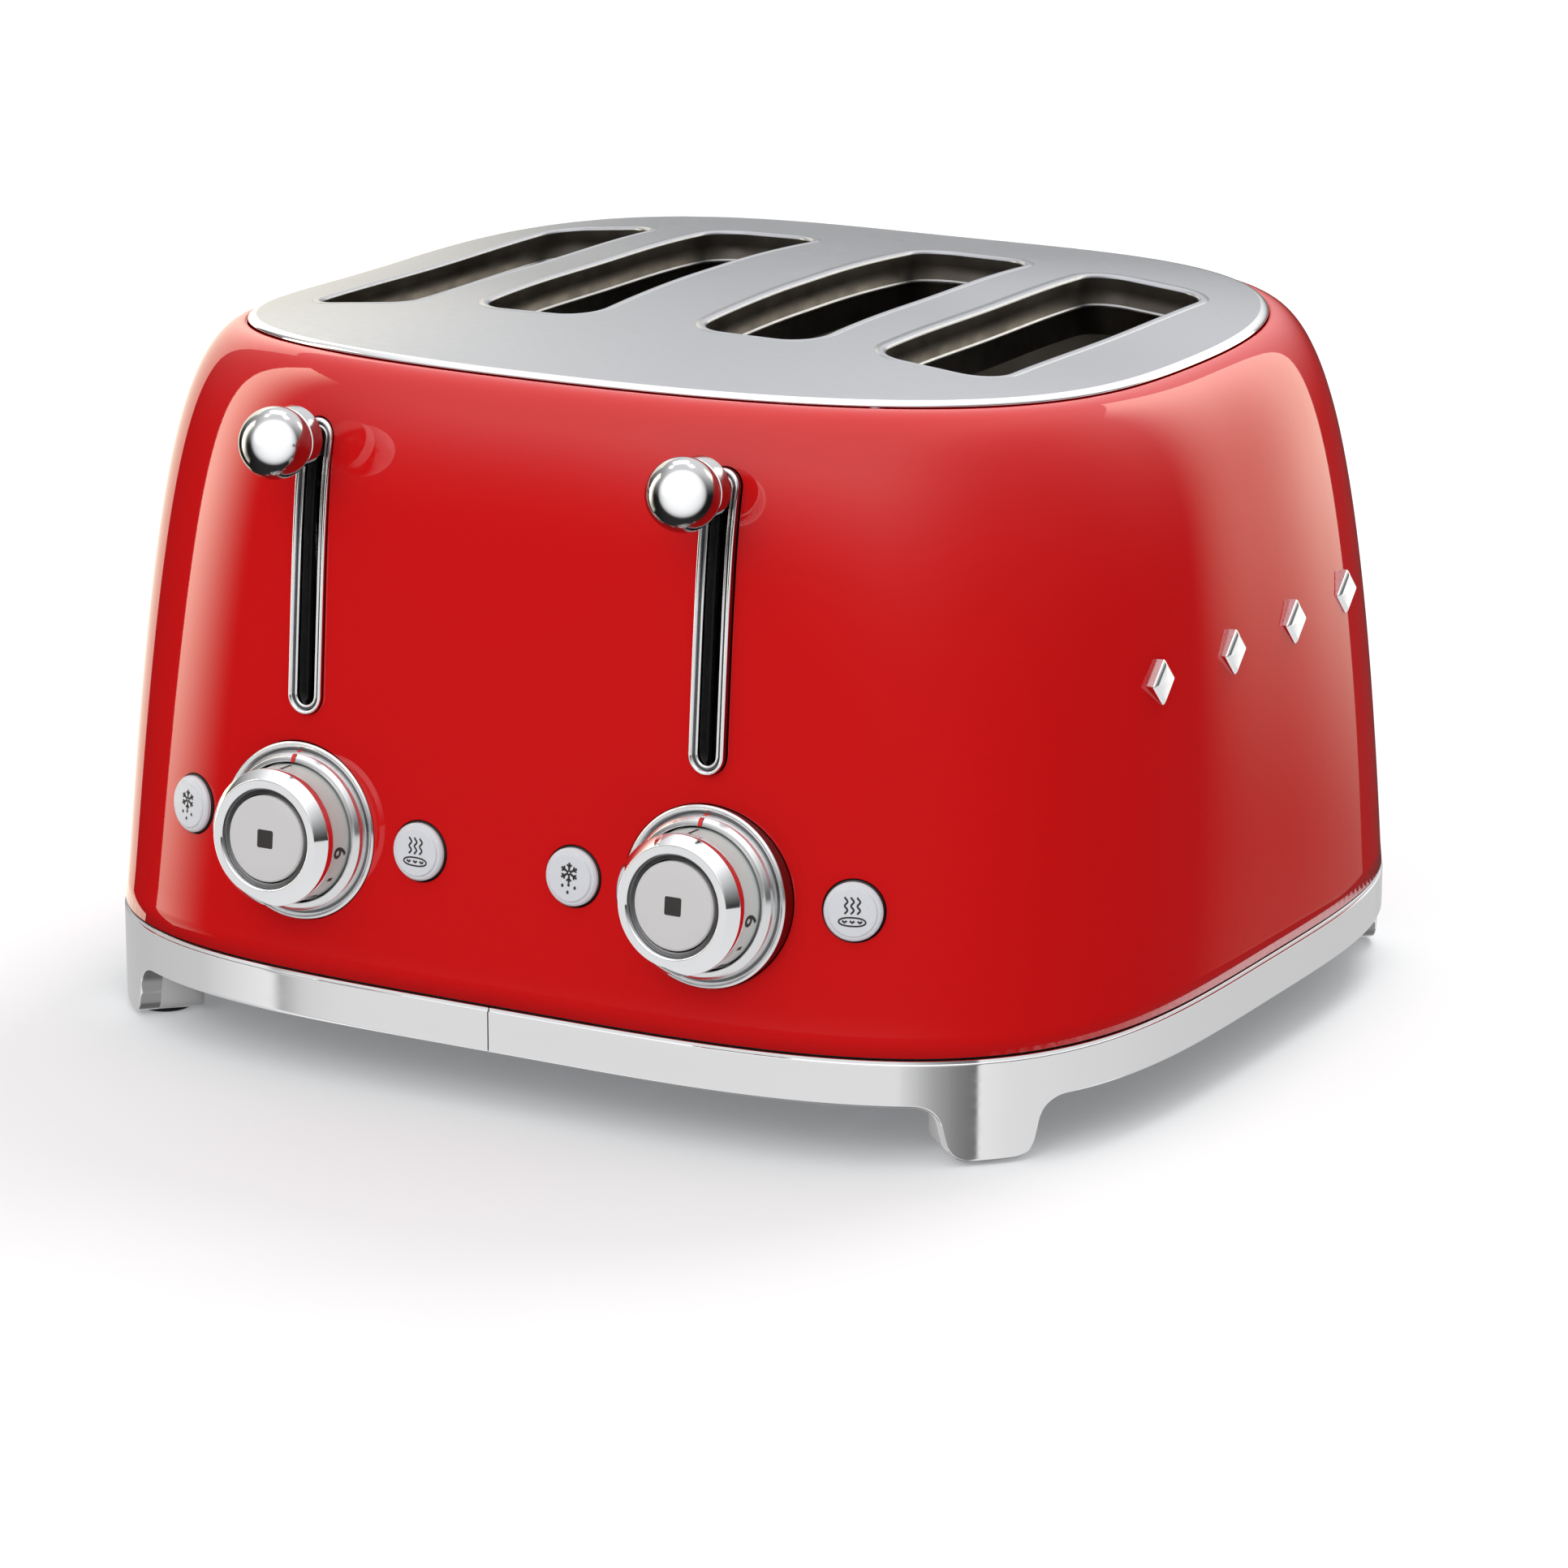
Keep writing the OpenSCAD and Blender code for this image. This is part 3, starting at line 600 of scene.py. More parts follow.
def build_slot_frame(name, x):
    """The frame of one bread slot, from its rolled edge in the plate's surface down into the slot."""
    roll = 1.2
    edge = [(LIP - 0.05, -1.2), (LIP - 0.05, 0.0)]
    edge += [(roll * (1 - math.sin(t)), -roll * (1 - math.cos(t))) for t in np.linspace(0, 1.571, 9)]
    bead = [(0, -8.4), (-0.4, -8.6), (-0.6, -8.9), (-0.45, -9.3)]
    section = edge + [(0, -4)] + bead + [(0.9, -9.6), (0.9, -17.5), (1.5, -17.5), (1.5, -3)]
    wall_start, bead_start = len(edge) - 2, len(edge) + 1
    inner, outer = np.array(slot_outline(0)), np.array(slot_outline(LIP))
    rings = []
    for out, height in section:
        xy = inner + (outer - inner) * out / LIP + (x, 0)
        rings.append(np.column_stack([xy, plate_surface(*xy.T) + height]))
    slot_frame = loft(name, rings, closed=True)
    finish_piece(slot_frame, "root", "satin_steel")
    slot_frame.data.materials.append(SHADED_SLOT_WALL)
    slot_frame.data.materials.append(COLLAR_GREY)
    # Painted shade: the slot's wall, from the end of the roll down, gets the darkened steel.
    paint_rows(slot_frame, len(inner), range(wall_start, len(section)), 1)
    # Painted highlight: the bead keeps a lighter grey chrome, so that it shows as a bright line along the
    # darkened wall.
    paint_rows(slot_frame, len(inner), range(bead_start, bead_start + len(bead)), 2)
    return slot_frame


def paint_rows(piece, columns, rows, index):
    """Gives the faces between some rings of a loft, counted from its first ring, another material."""
    for row in rows:
        for face in piece.data.polygons[row * columns:(row + 1) * columns]:
            face.material_index = index


def foot_drop(distance):
    """How far the trim's lower edge drops towards a foot, at a distance along the trim from its middle."""
    outline = fillet([(40, 0, 0), (14.6, 0, 0), (11.4, FOOT_DROP, 0), (0, FOOT_DROP, 0)], 9, 8)
    reach, drop, _ = np.array(outline)[::-1].T
    return np.interp(np.abs(distance), reach, drop)


def trim_stations(angles):
    """Outer radius of the trim and drop of its lower edge at each polar angle, in degrees."""
    mm_per_degree = 3.2
    distance = (np.abs(angles) - FOOT_ANGLE) * mm_per_degree
    return trim_radius(np.radians(angles)), foot_drop(distance)


def trim_radius(angles):
    return np.hypot(*oval(angles, TRIM_A, TRIM_B, BASE_POWER).T)


def build_trims():
    """The two halves of the base trim: the left one is a mirror image of the right one."""
    fine = np.arange(FOOT_ANGLE - 8, FOOT_ANGLE + 8, 0.25)
    angles = np.unique(np.concatenate([np.linspace(-89.93, 89.93, 140), fine, -fine]))
    radius, drop = trim_stations(angles)
    lip_depth = TRIM_WALL + 1
    deep = lip_depth + (FOOT_DEPTH - lip_depth) * np.clip(drop / FOOT_DROP, 0, 1)
    rings = []
    for angle, r, fall, inward in zip(np.radians(angles), radius, drop, deep):
        low = TRIM_Z0 - fall
        section = [(0.75, TRIM_Z1), (0.55, TRIM_Z1 - 0.15), (0.5, TRIM_Z1 - 0.9), (0.12, TRIM_Z1 - 1.05),
                   (0, TRIM_Z1 - 1.3), (0, TRIM_Z1 - 1.6), (0, low + 1.1), (0, low + 0.8), (0.25, low + 0.22),
                   (0.8, low), (FOOT_RIM, low), (inward - 0.6, low), (inward, low + 0.6),
                   (inward, TRIM_Z0 - 0.05), (TRIM_WALL, TRIM_Z0), (TRIM_WALL, TRIM_Z1)]
        rings.append([((r - inset) * math.cos(angle), (r - inset) * math.sin(angle), z)
                      for inset, z in section])
    right = sharpen(loft("trim_right", rings))
    x0, x1 = TRAY_WINDOW_X
    window = [(x0, 60), (x1, 60), (x1, 200), (x0, 200)]
    gland = Matrix.Translation((0, 100, GLAND_Z)) @ Matrix.Rotation(-math.pi / 2, 4, "X")
    cut(right, [prism("cutter", window, *TRAY_WINDOW_Z),
                prism("cutter", arc((0, 0), GLAND_R, 0, 360, 48)[:-1], 0, 90, gland)], keep_shading=False)
    left = right.copy()
    left.name = "trim_left"
    left.data = right.data.copy()
    left.data.transform(Matrix.Diagonal((-1, 1, 1, 1)))
    left.data.flip_normals()
    add_to_scene(left)
    for trim, name in ((left, "left"), (right, "right")):
        finish_piece(trim, "root", "satin_trim", f"base_trim_{name}")
        paint_foot_block_shade(trim)


def paint_foot_block_shade(trim):
    """The block behind the metal rim of each foot, which holds the rubber pad, painted grey: a painted shade
    that matches the floor shadow beside the foot.
    """
    trim.data.materials.append(STOP_GREY)
    for face in trim.data.polygons:
        x, y, z = to_body(face.center)
        inset = trim_radius([math.atan2(y, abs(x))])[0] - math.hypot(x, y)
        # Painted shade: faces low on the foot, behind its rim.
        if z < TRIM_Z0 - 0.3 and inset > FOOT_RIM + 0.1:
            face.material_index = 1


def build_gasket():
    """The dark sealing strip between the trim and the shell."""
    angles = full_turn(ROUND_STEPS)
    rings = []
    for inset, z in ((1.5, TRIM_Z1), (1.15, TRIM_Z1 + 0.4), (1.5, SHELL_Z), (4, SHELL_Z), (4, TRIM_Z1)):
        xy = oval(angles, TRIM_A - inset, TRIM_B - inset, BASE_POWER)
        rings.append(np.column_stack([xy, np.full(len(xy), z)]))
    gasket = loft("gasket_strip", rings, closed=True)
    finish_piece(gasket, "root", "black_rubber", "shell_gasket")


def build_tray_face(name, side):
    """The visible end of a crumb tray, which follows the curve of the rear trim."""
    section = [(0.15, 20.1), (0.06, 20.2), (0.02, 20.5), (0.02, 24.7), (0.14, 24.8), (0.14, 25.2),
               (0.02, 25.3), (0.02, 26.9), (0.06, 27.2), (0.15, 27.3), (2.2, 27.3), (2.2, 20.1)]
    rings = []
    for x in np.linspace(*sorted(side * x for x in TRAY_X), 90):
        y = oval_reach(x, TRIM_A, TRIM_B, BASE_POWER)
        rings.append([(x, y - inset, z) for inset, z in section])
    face = sharpen(loft(f"tray_face_{name}", rings))
    finish_piece(face, f"crumb_tray_{name}", "satin_trim")


# ---- controls


def build_lever_bezel(name, side):
    """The stepped chrome frame round a lever's slot, bent to the front face."""
    width, z0, z1 = LEVER_SLOT
    path = np.array(stadium(width / 2, z0, z1, 20))
    centre_z = np.clip(path[:, 1], z0 + width / 2, z1 - width / 2)
    outward = np.column_stack([path[:, 0], path[:, 1] - centre_z]) / (width / 2)
    section = [(0, -3), (0, 0.7), (0.1, 1.0), (0.35, 1.2), (0.6, 1.05), (0.72, 0.75), (0.8, 0.25), (1.3, 0.2),
               (1.42, 0.6), (1.5, 1.2), (1.7, 1.75), (2.0, 1.95), (2.3, 1.75), (2.5, 1.2), (BEZEL_W, 0.6),
               (BEZEL_W, -2)]
    rings = []
    for out, height in section:
        x = side * LEVER_X + path[:, 0] + outward[:, 0] * out
        z = path[:, 1] + outward[:, 1] * out
        rings.append(np.column_stack([x, front_y(np.full(len(z), side * LEVER_X), z) - height, z]))
    bezel = loft(f"bezel_{name}", rings, closed=True)
    finish_piece(bezel, "root", "polished_chrome", f"lever_bezel_{name}")
    bezel.data.materials.append(SHADE_CHROME)
    # Painted shade: the step's groove and the outer flank by the shell get the darkened chrome.
    shade_rows = (5, 6, 7, 13, 14)
    paint_rows(bezel, len(path), shade_rows, 1)


def build_lever_knob(name, side):
    """The ball of a lever on its short turned neck."""
    place = Matrix.Translation((side * LEVER_X, BALL_Y, LEVER_Z)) @ Matrix.Rotation(-math.pi / 2, 4, "X")
    ball = [(BALL_R * math.sin(t), -BALL_R * math.cos(t)) for t in np.linspace(0.01, 2.13, 48)]
    neck = fillet([(8.2, 5.5), (8.45, 5.6), (8.45, 10.3), (0, 10.3)], 0.4)
    knob = lathe(f"ball_{name}", ball + neck, place, 96)
    finish_piece(sharpen(knob), f"lever_{name}", "polished_chrome", f"lever_knob_{name}",
                 material=BALL_CHROME)


def build_dial(name, side):
    """A browning dial: the fixed stepped ring, the turning knob and the grey collar inside it."""
    place = on_front(side * DIAL_X, DIAL_Z)
    ring = [(3.1, -4), (5, -4), (5, -1), (23, -1), (23, -11), (DIAL_RING_R, -11), (DIAL_RING_R, 1.2),
            (24.1, 1.65), (23.3, 1.55), (22.5, 0.65), (21.7, 3.6), (20.8, 4.65), (19.45, 4.95),
            (19.45, 1.5), (3.1, 1.5), (3.1, -4)]
    fixed = sharpen(lathe(f"dial_frame_{name}", fillet(ring, 0.3), place, 160, closed=True), 50)
    finish_piece(fixed, "root", "satin_chrome", f"dial_ring_{name}")
    # Painted shade: darkened chrome in the ring's groove, in the gap round the knob, and at its edge by the
    # shell and behind it.
    paint_rings(fixed, place, SHADE_CHROME, lambda r, h: 22.3 < r < 22.9 and h < 1.4 or r < 19.5 or h < 1)
    knob = [(3.1, 4.7), (16, 4.7), (16, 2.3), (18.8, 2.3), (18.8, 5.2), (18.35, 11.6), (18.85, 12.3),
            (18.85, 14.7), (16.35, 17.85), (14.2, 17.85), (13.8, 17.4), (13.8, 7.3), (3.1, 7.3), (3.1, 4.7)]
    dial = sharpen(lathe(f"dial_body_{name}", fillet(knob, 0.4), place, 160, closed=True), 50)
    finish_piece(dial, f"dial_{name}", "polished_chrome", f"dial_{name}")
    paint_rings(dial, place, SKIRT, lambda r, h: h < 11.9)
    sleeve = [(13.7, 7.4), (13.7, 16.5), (12.35, 16.3), (12.35, 7.8), (3.1, 7.8), (3.1, 7.4), (13.7, 7.4)]
    collar = sharpen(lathe(f"dial_collar_{name}", fillet(sleeve, 0.2), place, 128, closed=True))
    finish_piece(collar, f"dial_{name}", "black_plastic", material=COLLAR_GREY)
    build_dial_marks(name, place)
    build_stop_button(name, place)


def glyph(text, size):
    """Flat outline mesh of one digit, centred on the origin, as points and faces."""
    curve = bpy.data.curves.new("glyph", "FONT")
    curve.body = text
    curve.size = size
    curve.offset = 0.018 * size
    curve.align_x = "CENTER"
    curve.align_y = "CENTER"
    holder = bpy.data.objects.new("glyph", curve)
    add_to_scene(holder)
    bpy.context.view_layer.update()
    mesh = bpy.data.meshes.new_from_object(holder.evaluated_get(bpy.context.evaluated_depsgraph_get()))
    points = np.array([v.co for v in mesh.vertices])
    points[:, :2] -= (points[:, :2].min(0) + points[:, :2].max(0)) / 2
    faces = [tuple(p.vertices) for p in mesh.polygons]
    bpy.data.objects.remove(holder)
    bpy.data.curves.remove(curve)
    return points, faces


def build_dial_marks(name, place):
    """Digits 1 to 6 and the short bars between them, laid on the dial's skirt."""
    vertices, faces = [], []
    skirt_z, skirt_r, taper, middle = 5.2, 18.86, 0.07, 8.2

    def lay(points, shape_faces, clockwise):
        start = len(vertices)
        for px, py in points[:, :2]:
            height = middle - py
            radius = skirt_r - (height - skirt_z) * taper
            turn = math.radians(90 - clockwise) - px / radius
            vertices.append((radius * math.cos(turn), radius * math.sin(turn), height))
        faces.extend(tuple(start + i for i in face) for face in shape_faces)

    bar = np.array([(x, y, 0) for x, y in ((-0.6, -0.9), (0.6, -0.9), (0.6, 0.9), (-0.6, 0.9))])
    for k in range(6):
        points, shape_faces = glyph(str(k + 1), 7.2)
        lay(points, shape_faces, -DIGIT_STEP * k)
        if k < 5:
            lay(bar, [(0, 1, 2, 3)], -DIGIT_STEP * (k + 0.5))
    marks = new_object(f"dial_marks_{name}", laid(vertices, place), faces, smooth=False)
    finish_piece(marks, f"dial_{name}", "black_plastic", material=INK)


def build_stop_button(name, place):
    """The push button in the middle of a dial, with a plain square printed on it."""
    profile = fillet([(0, 11.8), (11.95, 11.8), (11.95, 16.7), (11.5, 17.15), (8, 17.25), (0, 17.25)], 0.4)
    button = sharpen(lathe(f"stop_face_{name}", profile, place, 128))
    finish_piece(button, f"stop_button_{name}", "grey_button", f"stop_button_{name}", material=STOP_GREY)
    h = 2.5
    square = [(0, -h, 0), (h, -h, 0), (h, h, 0), (-h, h, 0), (-h, -h, 0), (0, -h, 0)]
    symbol = fillet(square, 0.6)
    flat_symbol(f"stop_symbol_{name}", [[p[:2] for p in symbol[:-1]]], place, 17.28, f"stop_button_{name}")


def flat_symbol(name, outlines, place, height, body):
    """Thin printed shapes on a flat face: each outline is a list of (x, y) points in mm."""
    vertices, faces = [], []
    for outline in outlines:
        faces.append(tuple(range(len(vertices), len(vertices) + len(outline))))
        vertices.extend((x, y, height) for x, y in outline)
    symbol = new_object(name, laid(vertices, place), faces, smooth=False)
    finish_piece(symbol, body, "black_plastic", material=INK)


def stroke(points, width):
    """Outline of a line of that width along points."""
    points = np.array(points, float)
    along = np.gradient(points, axis=0)
    along /= np.linalg.norm(along, axis=1)[:, None]
    side = np.column_stack([-along[:, 1], along[:, 0]]) * width / 2
    return [tuple(p) for p in np.concatenate([points + side, (points - side)[::-1]])]


def snowflake():
    """Six branched arms and falling drops, for the defrost button."""
    shapes = []
    centre = Vector((0, 1.1))
    for k in range(6):
        a = math.radians(60 * k + 30)
        arm = Vector((math.cos(a), math.sin(a)))
        shapes.append(stroke([arm * 0.2 + centre, arm * 2.3 + centre], 0.52))
        for bend in (-50, 50):
            twig = Vector((math.cos(a + math.radians(bend)), math.sin(a + math.radians(bend))))
            root = arm * 1.3 + centre
            shapes.append(stroke([root, root + twig * 0.85], 0.42))
    for x, y in ((-1.6, -2.0), (0, -1.7), (1.6, -2.2), (-0.2, -3.4)):
        shapes.append([(x + 0.34 * math.cos(t), y + (0.5 if math.sin(t) > 0 else 0.34) * math.sin(t))
                       for t in np.linspace(0, 2 * math.pi, 14)[:-1]])
    return shapes


def steaming_roll():
    """Three wisps of steam over a flat roll, for the reheat button."""
    shapes = []
    for x in (-1.4, 0, 1.4):
        rise = np.linspace(-0.4, 3.4, 15)
        shapes.append(stroke([(x + 0.32 * math.sin(v * 3.3), v) for v in rise], 0.44))
    turn = np.linspace(0, 2 * math.pi, 41)
    loop = [(3.0 * abs(math.cos(t)) ** 0.8 * math.copysign(1, math.cos(t)), -2.1 + 0.95 * math.sin(t))
            for t in turn]
    for k in range(0, 40, 4):
        shapes.append(stroke(loop[k:k + 5], 0.38))
    for x in (-1.7, 0, 1.7):
        shapes.append(stroke([(x - 0.5, -1.9), (x, -2.3), (x + 0.5, -1.9)], 0.5))
    return shapes


def build_push_button(node, x, symbol):
    """A grey push button that stands square to the shell, with its printed symbol."""
    place = on_front(x, DIAL_Z, front_yaw(x, DIAL_Z))
    profile = [(0, -4), (BUTTON_R, -4), (BUTTON_R, 0.2), (7.9, 0.2), (7.9, 1.2), (7.3, 1.85), (6.75, 1.9),
               (6.4, 2.45), (0, 2.45)]
    cap = sharpen(lathe(f"{node}_cap", fillet(profile, 0.4), place, 96), 50)
    finish_piece(cap, node, "grey_button", node)
    paint_rings(cap, place, MATERIALS["black_plastic"], lambda r, h: r > 7.85 and h < 0.4)
    flat_symbol(f"{node}_symbol", [np.array(outline) * 1.2 for outline in symbol], place, 2.48, node)


def build_pointer(name, side):
    """The red index line painted down the steps of a dial's fixed ring."""
    place = on_front(side * DIAL_X, DIAL_Z)
    line = [(19.5, 5.05), (20.5, 4.9), (21.1, 4.6), (21.5, 4.1), (22.4, 1.2)]
    vertices = [(x, radius, height) for radius, height in line for x in (-0.6, 0.6)]
    faces = grid_faces(len(line), 2, False, False)
    pointer = new_object(f"pointer_{name}", laid(vertices, place), faces)
    finish_piece(pointer, "root", "red_paint")
    return pointer


def build_pads():
    """The rubber pads under the four feet."""
    pads = []
    inset = 10
    profile = fillet([(0, 2.3), (7.4, 2.3), (7.4, 0.5), (6.9, 0), (5.2, 0), (5, 0.25), (0, 0.25)], 0.2)
    corner_x, corner_y = oval(np.radians([FOOT_ANGLE]), SHELL_A, SHELL_B, BASE_POWER)[0]
    inward = 1 - inset / math.hypot(corner_x, corner_y)
    for x in (-1, 1):
        for y in (-1, 1):
            place = Matrix.Translation((x * corner_x * inward, y * corner_y * inward, 0))
            pads.append(sharpen(lathe(f"foot_pad_{len(pads) + 1}", profile, place, 48)))
            finish_piece(pads[-1], "root", "black_rubber")
    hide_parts("foot_pads")


def build_ornaments():
    """Four bevelled lozenges on the right side."""
    low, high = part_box("side_ornaments")
    z = (low.z + high.z) / 2 / MM
    half_size = 6.5
    first = low.y / MM - BODY_Y + half_size
    last = high.y / MM - BODY_Y - half_size
    u = (z - SHELL_Z) / (RIM_Z - SHELL_Z)
    for k, y in enumerate(np.linspace(first, last, 4)):
        x = oval_reach(y, half_d(u), half_w(u), squareness(u))
        rings = []
        for size, out in ((6.4, -0.9), (6.4, 1.2), (6.0, 1.75), (4.9, 2.1), (1.0, 2.2)):
            rings.append([(x + out, y + size * dy, z + size * dz)
                          for dy, dz in ((1, 0), (0, 1), (-1, 0), (0, -1))])
        lozenge = sharpen(loft(f"ornament_{k + 1}", rings), 20)
        bevel = lozenge.modifiers.new("bevel", "BEVEL")
        bevel.width = 0.0003
        bevel.segments = 3
        finish_piece(lozenge, "root", "polished_chrome")
    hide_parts("side_ornaments")


def build_spring(name):
    """A return spring as a real coil, stretched between the chassis and the carriage."""
    low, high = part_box(f"return_spring_{name}")
    centre = (low + high) / 2
    coil_r, wire_r, turns, steps = 0.0030, 0.00045, 22, 24
    gap = 0.001
    height = high.z - low.z - 2 * gap
    rings = []
    for k in range(turns * steps + 1):
        t = k / steps * 2 * math.pi
        middle = Vector((centre.x + coil_r * math.cos(t), centre.y + coil_r * math.sin(t),
                         low.z + gap + height * k / (turns * steps)))
        outward = Vector((math.cos(t), math.sin(t), 0))
        rings.append([middle + wire_r * (outward * math.cos(a) + Vector((0, 0, math.sin(a))))
                      for a in full_turn(8)])
    spring = loft(f"coil_{name}", rings, row_frame=True)
    spring.data.materials.append(MATERIALS["wire"])
    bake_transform(spring)
    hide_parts(f"return_spring_{name}")


# ---- CAD nodes that stay


def dress_cad_nodes():
    """Every CAD node gets the procedural material of its slot."""
    for part in frame["record"]["subparts"]:
        node = frame["nodes"][part["node"]]
        material = MATERIALS[part["material_slot"]]
        if not node.material_slots:
            node.data.materials.append(material)
        for slot in node.material_slots:
            slot.material = material
        if part["material_slot"] in ("zinc_sheet", "wire", "mica"):
            INSIDE.objects.link(node)


# ---- studio


def flat_panel(name, corners):
    """A four-cornered stage panel, with its corners in row-frame metres."""
    panel = new_object(name, corners, [(0, 1, 2, 3)], smooth=False)
    return panel


def show_only_to(piece, seen_kind):
    """Hides a stage piece from all kinds of rays but one."""
    for kind in ("camera", "glossy", "diffuse", "shadow", "transmission", "volume_scatter"):
        setattr(piece, f"visible_{kind}", kind == seen_kind)


def blank_material(name):
    """A new material without nodes, and its nodes and links."""
    material = bpy.data.materials.new(name)
    material.use_nodes = True
    material.node_tree.nodes.clear()
    return material, material.node_tree.nodes, material.node_tree.links


def axes(nodes, links, vector):
    """The X, Y and Z outputs of a vector."""
    split = nodes.new("ShaderNodeSeparateXYZ")
    links.new(vector, split.inputs["Vector"])
    return split.outputs


def calculate(nodes, links, operation, *values):
    """The result of a math node whose inputs are node outputs or plain numbers."""
    step = nodes.new("ShaderNodeMath")
    step.operation = operation
    for socket, value in zip(step.inputs, values):
        if isinstance(value, (int, float)):
            socket.default_value = value
        else:
            links.new(value, socket)
    return step.outputs["Value"]


def see_through(nodes, links, glow):
    """Lets whatever lies behind a glowing card show through it."""
    clear = nodes.new("ShaderNodeBsdfTransparent")
    both = nodes.new("ShaderNodeAddShader")
    output = nodes.new("ShaderNodeOutputMaterial")
    links.new(glow.outputs["Emission"], both.inputs[0])
    links.new(clear.outputs["BSDF"], both.inputs[1])
    links.new(both.outputs["Shader"], output.inputs["Surface"])


def reflector(name, corners, strength, *ramps, colour=WARM, seen_by=ALL_BUT_TRIM):
    """A glowing card that only shows in the surfaces of one collection.

    Each ramp is (axis, start, end, level, level), where the axis can also be a point to measure from.
    """
    panel = flat_panel(name, corners)
    show_only_to(panel, "glossy")
    panel.light_linking.receiver_collection = seen_by
    material, nodes, links = blank_material(name)
    position = nodes.new("ShaderNodeNewGeometry").outputs["Position"]
    along = axes(nodes, links, position)
    glow = nodes.new("ShaderNodeEmission")
    fill(glow, {"Strength": strength, "Color": (*colour, 1)})
    total = strength
    for axis, *span in ramps:
        if isinstance(axis, str):
            value = along[axis]
        else:
            reach = nodes.new("ShaderNodeVectorMath")
            reach.operation = "DISTANCE"
            reach.inputs[1].default_value = axis
            links.new(position, reach.inputs[0])
            value = reach.outputs["Value"]
        total = calculate(nodes, links, "MULTIPLY", total, ramp(nodes, links, value, *span))
        links.new(total, glow.inputs["Strength"])
    see_through(nodes, links, glow)
    panel.data.materials.append(material)


def level_ring(radius, z, steps):
    return [(radius * math.cos(t), radius * math.sin(t), z) for t in full_turn(steps)]


def build_trim_surround():
    """A ring of light low around the stage, seen in the trim, with a level for each compass angle."""
    levels = [(-180, 0.55), (-96, 0.57), (-62, 0.63), (-46, 0.90), (-44.2, 0.92), (-43.8, 0.36),
              (-40.5, 0.70), (-36, 0.78), (24, 0.79), (38, 0.38), (48, 0.22), (56.3, 0.15), (56.7, 0.90),
              (70, 0.82), (120, 0.74), (156, 0.61), (180, 0.58)]
    rings = [level_ring(CARD_HALF, z, 96) for z in (-3.0, 0.4)]
    ring = loft("trim_surround", rings, caps=False, row_frame=True)
    show_only_to(ring, "glossy")
    material, nodes, links = blank_material("trim_surround")
    along = axes(nodes, links, nodes.new("ShaderNodeNewGeometry").outputs["Position"])
    ahead = calculate(nodes, links, "MULTIPLY", along["Y"], -1)
    compass = calculate(nodes, links, "ARCTAN2", along["X"], ahead)
    turn = ramp(nodes, links, compass, -math.pi, math.pi, 0, 1, "LINEAR")
    scale = nodes.new("ShaderNodeValToRGB")
    while len(scale.color_ramp.elements) < len(levels):
        scale.color_ramp.elements.new(0.5)
    for stop, (degrees, level) in zip(scale.color_ramp.elements, levels):
        stop.position = (degrees + 180) / 360
        stop.color = (level, level, level, 1)
    links.new(turn, scale.inputs["Fac"])
    glow = nodes.new("ShaderNodeEmission")
    links.new(scale.outputs["Color"], glow.inputs["Color"])
    see_through(nodes, links, glow)
    ring.data.materials.append(material)
    ring.light_linking.receiver_collection = TRIM


def level_square(half, z):
    return [(-half, -half, z), (half, -half, z), (half, half, z), (-half, half, z)]


def wall_x(x, y0, y1, z0, z1):
    return [(x, y0, z0), (x, y1, z0), (x, y1, z1), (x, y0, z1)]


def wall_y(y, x0, x1, z0, z1):
    return [(x0, y, z0), (x1, y, z0), (x1, y, z1), (x0, y, z1)]


def area_light(name, place, target, size, power):
    """A soft light that lights the pieces but doesn't show in polished surfaces."""
    data = bpy.data.lights.new(name, "AREA")
    data.shape = "DISK"
    data.size = size
    data.energy = power
    light = bpy.data.objects.new(name, data)
    light.location = place
    light.rotation_euler = (Vector(target) - Vector(place)).to_track_quat("-Z", "Y").to_euler()
    light.visible_glossy = False
    add_to_scene(light)
    return light


def build_sky():
    """Soft light that grows from the horizon to the top and fades towards the sides."""
    world = bpy.data.worlds.new("studio")
    bpy.context.scene.world = world
    world.use_nodes = True
    nodes, links = world.node_tree.nodes, world.node_tree.links
    background = nodes["Background"]
    fill(background, {"Color": (1, 1, 1, 1)})
    along = axes(nodes, links, nodes.new("ShaderNodeTexCoord").outputs["Generated"])
    height = ramp(nodes, links, along["Z"], -0.08, 0.55, HORIZON_LIGHT, ZENITH_LIGHT)
    aside = ramp(nodes, links, calculate(nodes, links, "ABSOLUTE", along["X"]), 0.3, 1.0, 1.0, SIDE_SHARE)
    links.new(calculate(nodes, links, "MULTIPLY", height, aside), background.inputs["Strength"])


def build_backdrop():
    """A plain white dome that only the camera sees."""
    white, nodes, links = blank_material("backdrop")
    glow = nodes.new("ShaderNodeEmission")
    output = nodes.new("ShaderNodeOutputMaterial")
    links.new(glow.outputs["Emission"], output.inputs["Surface"])
    rings = [level_ring(radius, z, 64) for radius, z in ((FLOOR_HALF, -6), (FLOOR_HALF, 8), (0.24, 14))]
    dome = loft("backdrop", rings, row_frame=True)
    dome.data.materials.append(white)
    show_only_to(dome, "camera")


def build_floor():
    floor = flat_panel("floor", level_square(FLOOR_HALF, 0))
    pale = Finish("pale_floor", (0.58, 0.58, 0.58), 0.0, 0.9, specular=0.0)
    pale.vary_colour(pale.noise(3), (0.59, 0.59, 0.59))
    fill(pale.shader, {"Emission Color": (0.94, 0.96, 1.0, 1), "Emission Strength": 0.22})
    floor.data.materials.append(pale.material)
    floor.visible_glossy = False


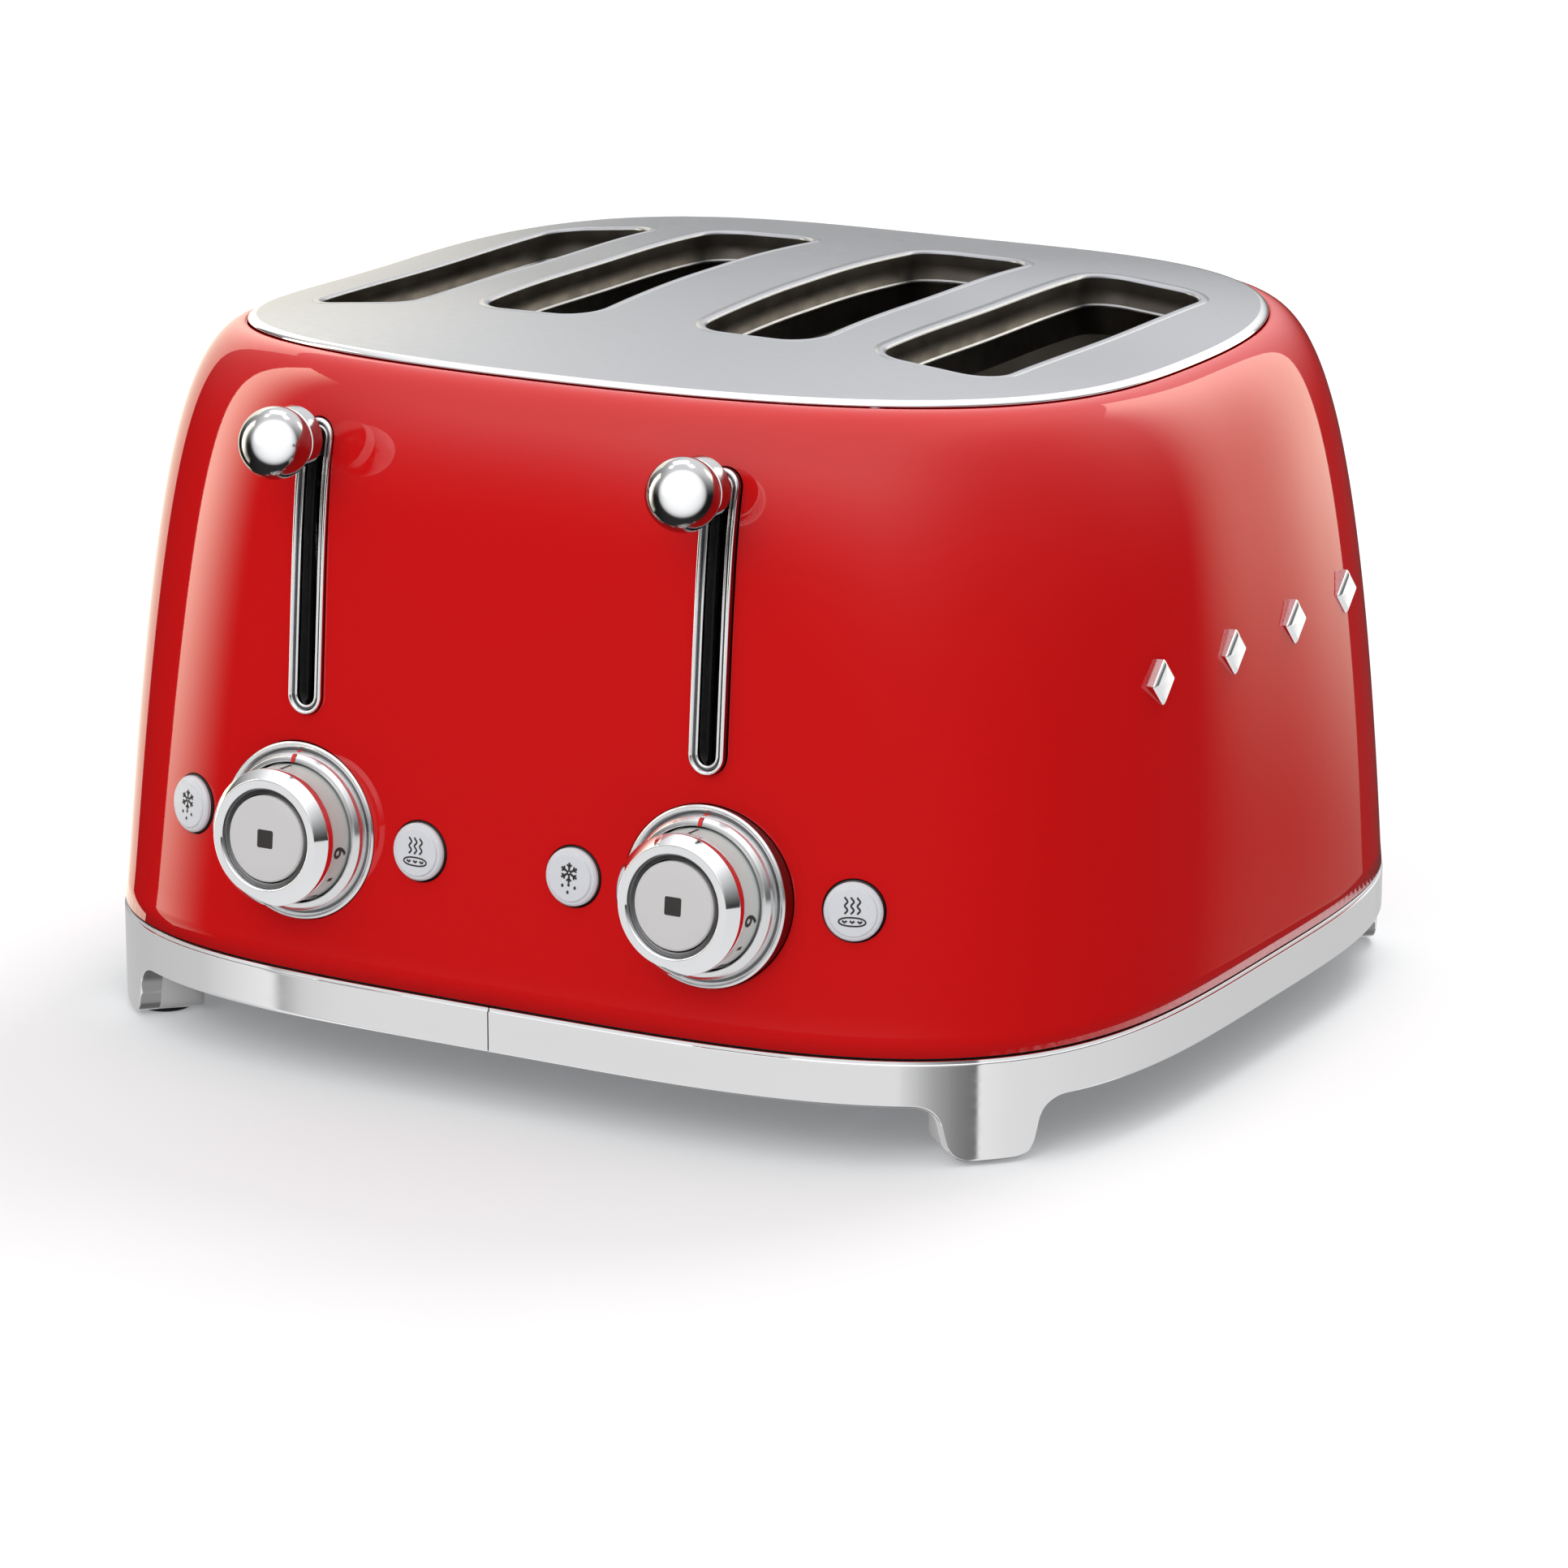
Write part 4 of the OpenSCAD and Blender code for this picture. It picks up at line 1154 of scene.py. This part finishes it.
def build_studio():
    bpy.context.scene.view_settings.view_transform = "Standard"
    build_floor()
    build_sky()
    build_backdrop()
    reflector("reflector_left", wall_x(-0.7, -0.48, -0.15, -0.3, 0.75), 5.0,
              ("Y", -0.48, -0.15, 0, 1), ("Z", -0.15, 0.15, 0.3, 1))
    reflector("reflector_rear_left", wall_x(-0.7, 0.16, 1.1, -0.3, 0.75), 1.3, ("Y", 0.6, 1.1, 1, 0))
    reflector("reflector_right", wall_y(0.9, 0.29, 0.95, -0.35, 0.9), 2.4,
              ("X", 0.42, 0.82, 1, 0), ("Z", -0.2, 0.15, 0.12, 1))
    build_ball_cards()
    build_trim_surround()
    area_light("key_front", (0.1, -1.9, 1.2), (0, 0, 0.1), 1.2, 10)
    area_light("key_back", (0.2, 1.4, 1.9), (0, 0, 0), 1.0, 24)
    slot_light = area_light("slot_light", (0.5, 0.5, 1.2), (0, 0, 0.15), 1.6, 26)
    slot_light.visible_glossy = True
    slot_light.light_linking.receiver_collection = INSIDE
    reflector("floor_glow", level_square(CARD_HALF, 0.0002), FLOOR_LIGHT, colour=NEUTRAL, seen_by=POLISHED)
    reflector("trim_floor", level_square(CARD_HALF, -3), TRIM_FLOOR_LIGHT,
              ((0, 0, -3), 0.6, 2.4, 0.3, 1), colour=NEUTRAL, seen_by=TRIM)


def direction(azimuth, elevation):
    """The way from the object to a viewer, where azimuth 0 is the front and turns to the right."""
    return Vector((math.sin(azimuth) * math.cos(elevation), -math.cos(azimuth) * math.cos(elevation),
                   math.sin(elevation)))


def facing_card(name, centre, towards, half_width, half_height, strength, *ramps):
    """A card square to the line from its centre to a point, seen in the levers' balls only."""
    away = (centre - towards).normalized()
    across = away.cross(Vector((0, 0, 1))).normalized() * half_width
    upward = across.cross(away).normalized() * half_height
    corners = [tuple(centre + i * across + j * upward) for i, j in ((-1, -1), (1, -1), (1, 1), (-1, 1))]
    reflector(name, corners, strength, *ramps, colour=NEUTRAL, seen_by=BALLS)


def build_ball_cards():
    """A broad soft card in front of the balls and three small ones high behind them."""
    middle = Vector((0, (BALL_Y + BODY_Y) * MM, LEVER_Z * MM))
    front = middle + direction(VIEW_AZIMUTH, VIEW_ELEVATION) * 0.5
    facing_card("ball_front", front, middle, 2.6, 2.6, 2.5, (tuple(front), 0.0, 2.6, 1, 0))
    sparks = ((0, 110, 0.22, 0.13), (-42, 104, 0.10, 0.08), (42, 104, 0.07, 0.06))
    for k, (turn, rise, half_width, half_height) in enumerate(sparks):
        away = direction(VIEW_AZIMUTH + math.radians(turn), VIEW_ELEVATION + math.radians(rise))
        facing_card(f"ball_spark_{k + 1}", middle + away, middle, half_width, half_height, 9.0)


def build_camera():
    """The camera of the reference view."""
    target = Vector((0, -6.7 + BODY_Y, 57.8))
    back = direction(VIEW_AZIMUTH, VIEW_ELEVATION)
    data = bpy.data.cameras.new("camera")
    data.sensor_width = 36
    data.lens = 136.27
    data.shift_x = 0.0224
    data.shift_y = -0.0006
    data.clip_end = 100
    camera = bpy.data.objects.new("camera", data)
    camera.location = (target + back * VIEW_DISTANCE) * MM
    camera.rotation_euler = (-back).to_track_quat("-Z", "Y").to_euler()
    add_to_scene(camera)
    bpy.context.scene.camera = camera


def main():
    build_camera()
    build_studio()
    dress_cad_nodes()
    build_shell()
    build_top_plate()
    build_gasket()
    build_pads()
    build_ornaments()
    build_trims()
    for name, side in SIDES:
        build_tray_face(name, side)
        build_lever_bezel(name, side)
        build_lever_knob(name, side)
        build_dial(name, side)
        build_pointer(name, side)
        build_spring(name)
        left, right = sorted(side * x for x in BUTTON_X)
        build_push_button(f"defrost_button_{name}", left, snowflake())
        build_push_button(f"reheat_button_{name}", right, steaming_roll())
    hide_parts("dial_pointers")


main()
bpy.context.view_layer.update()
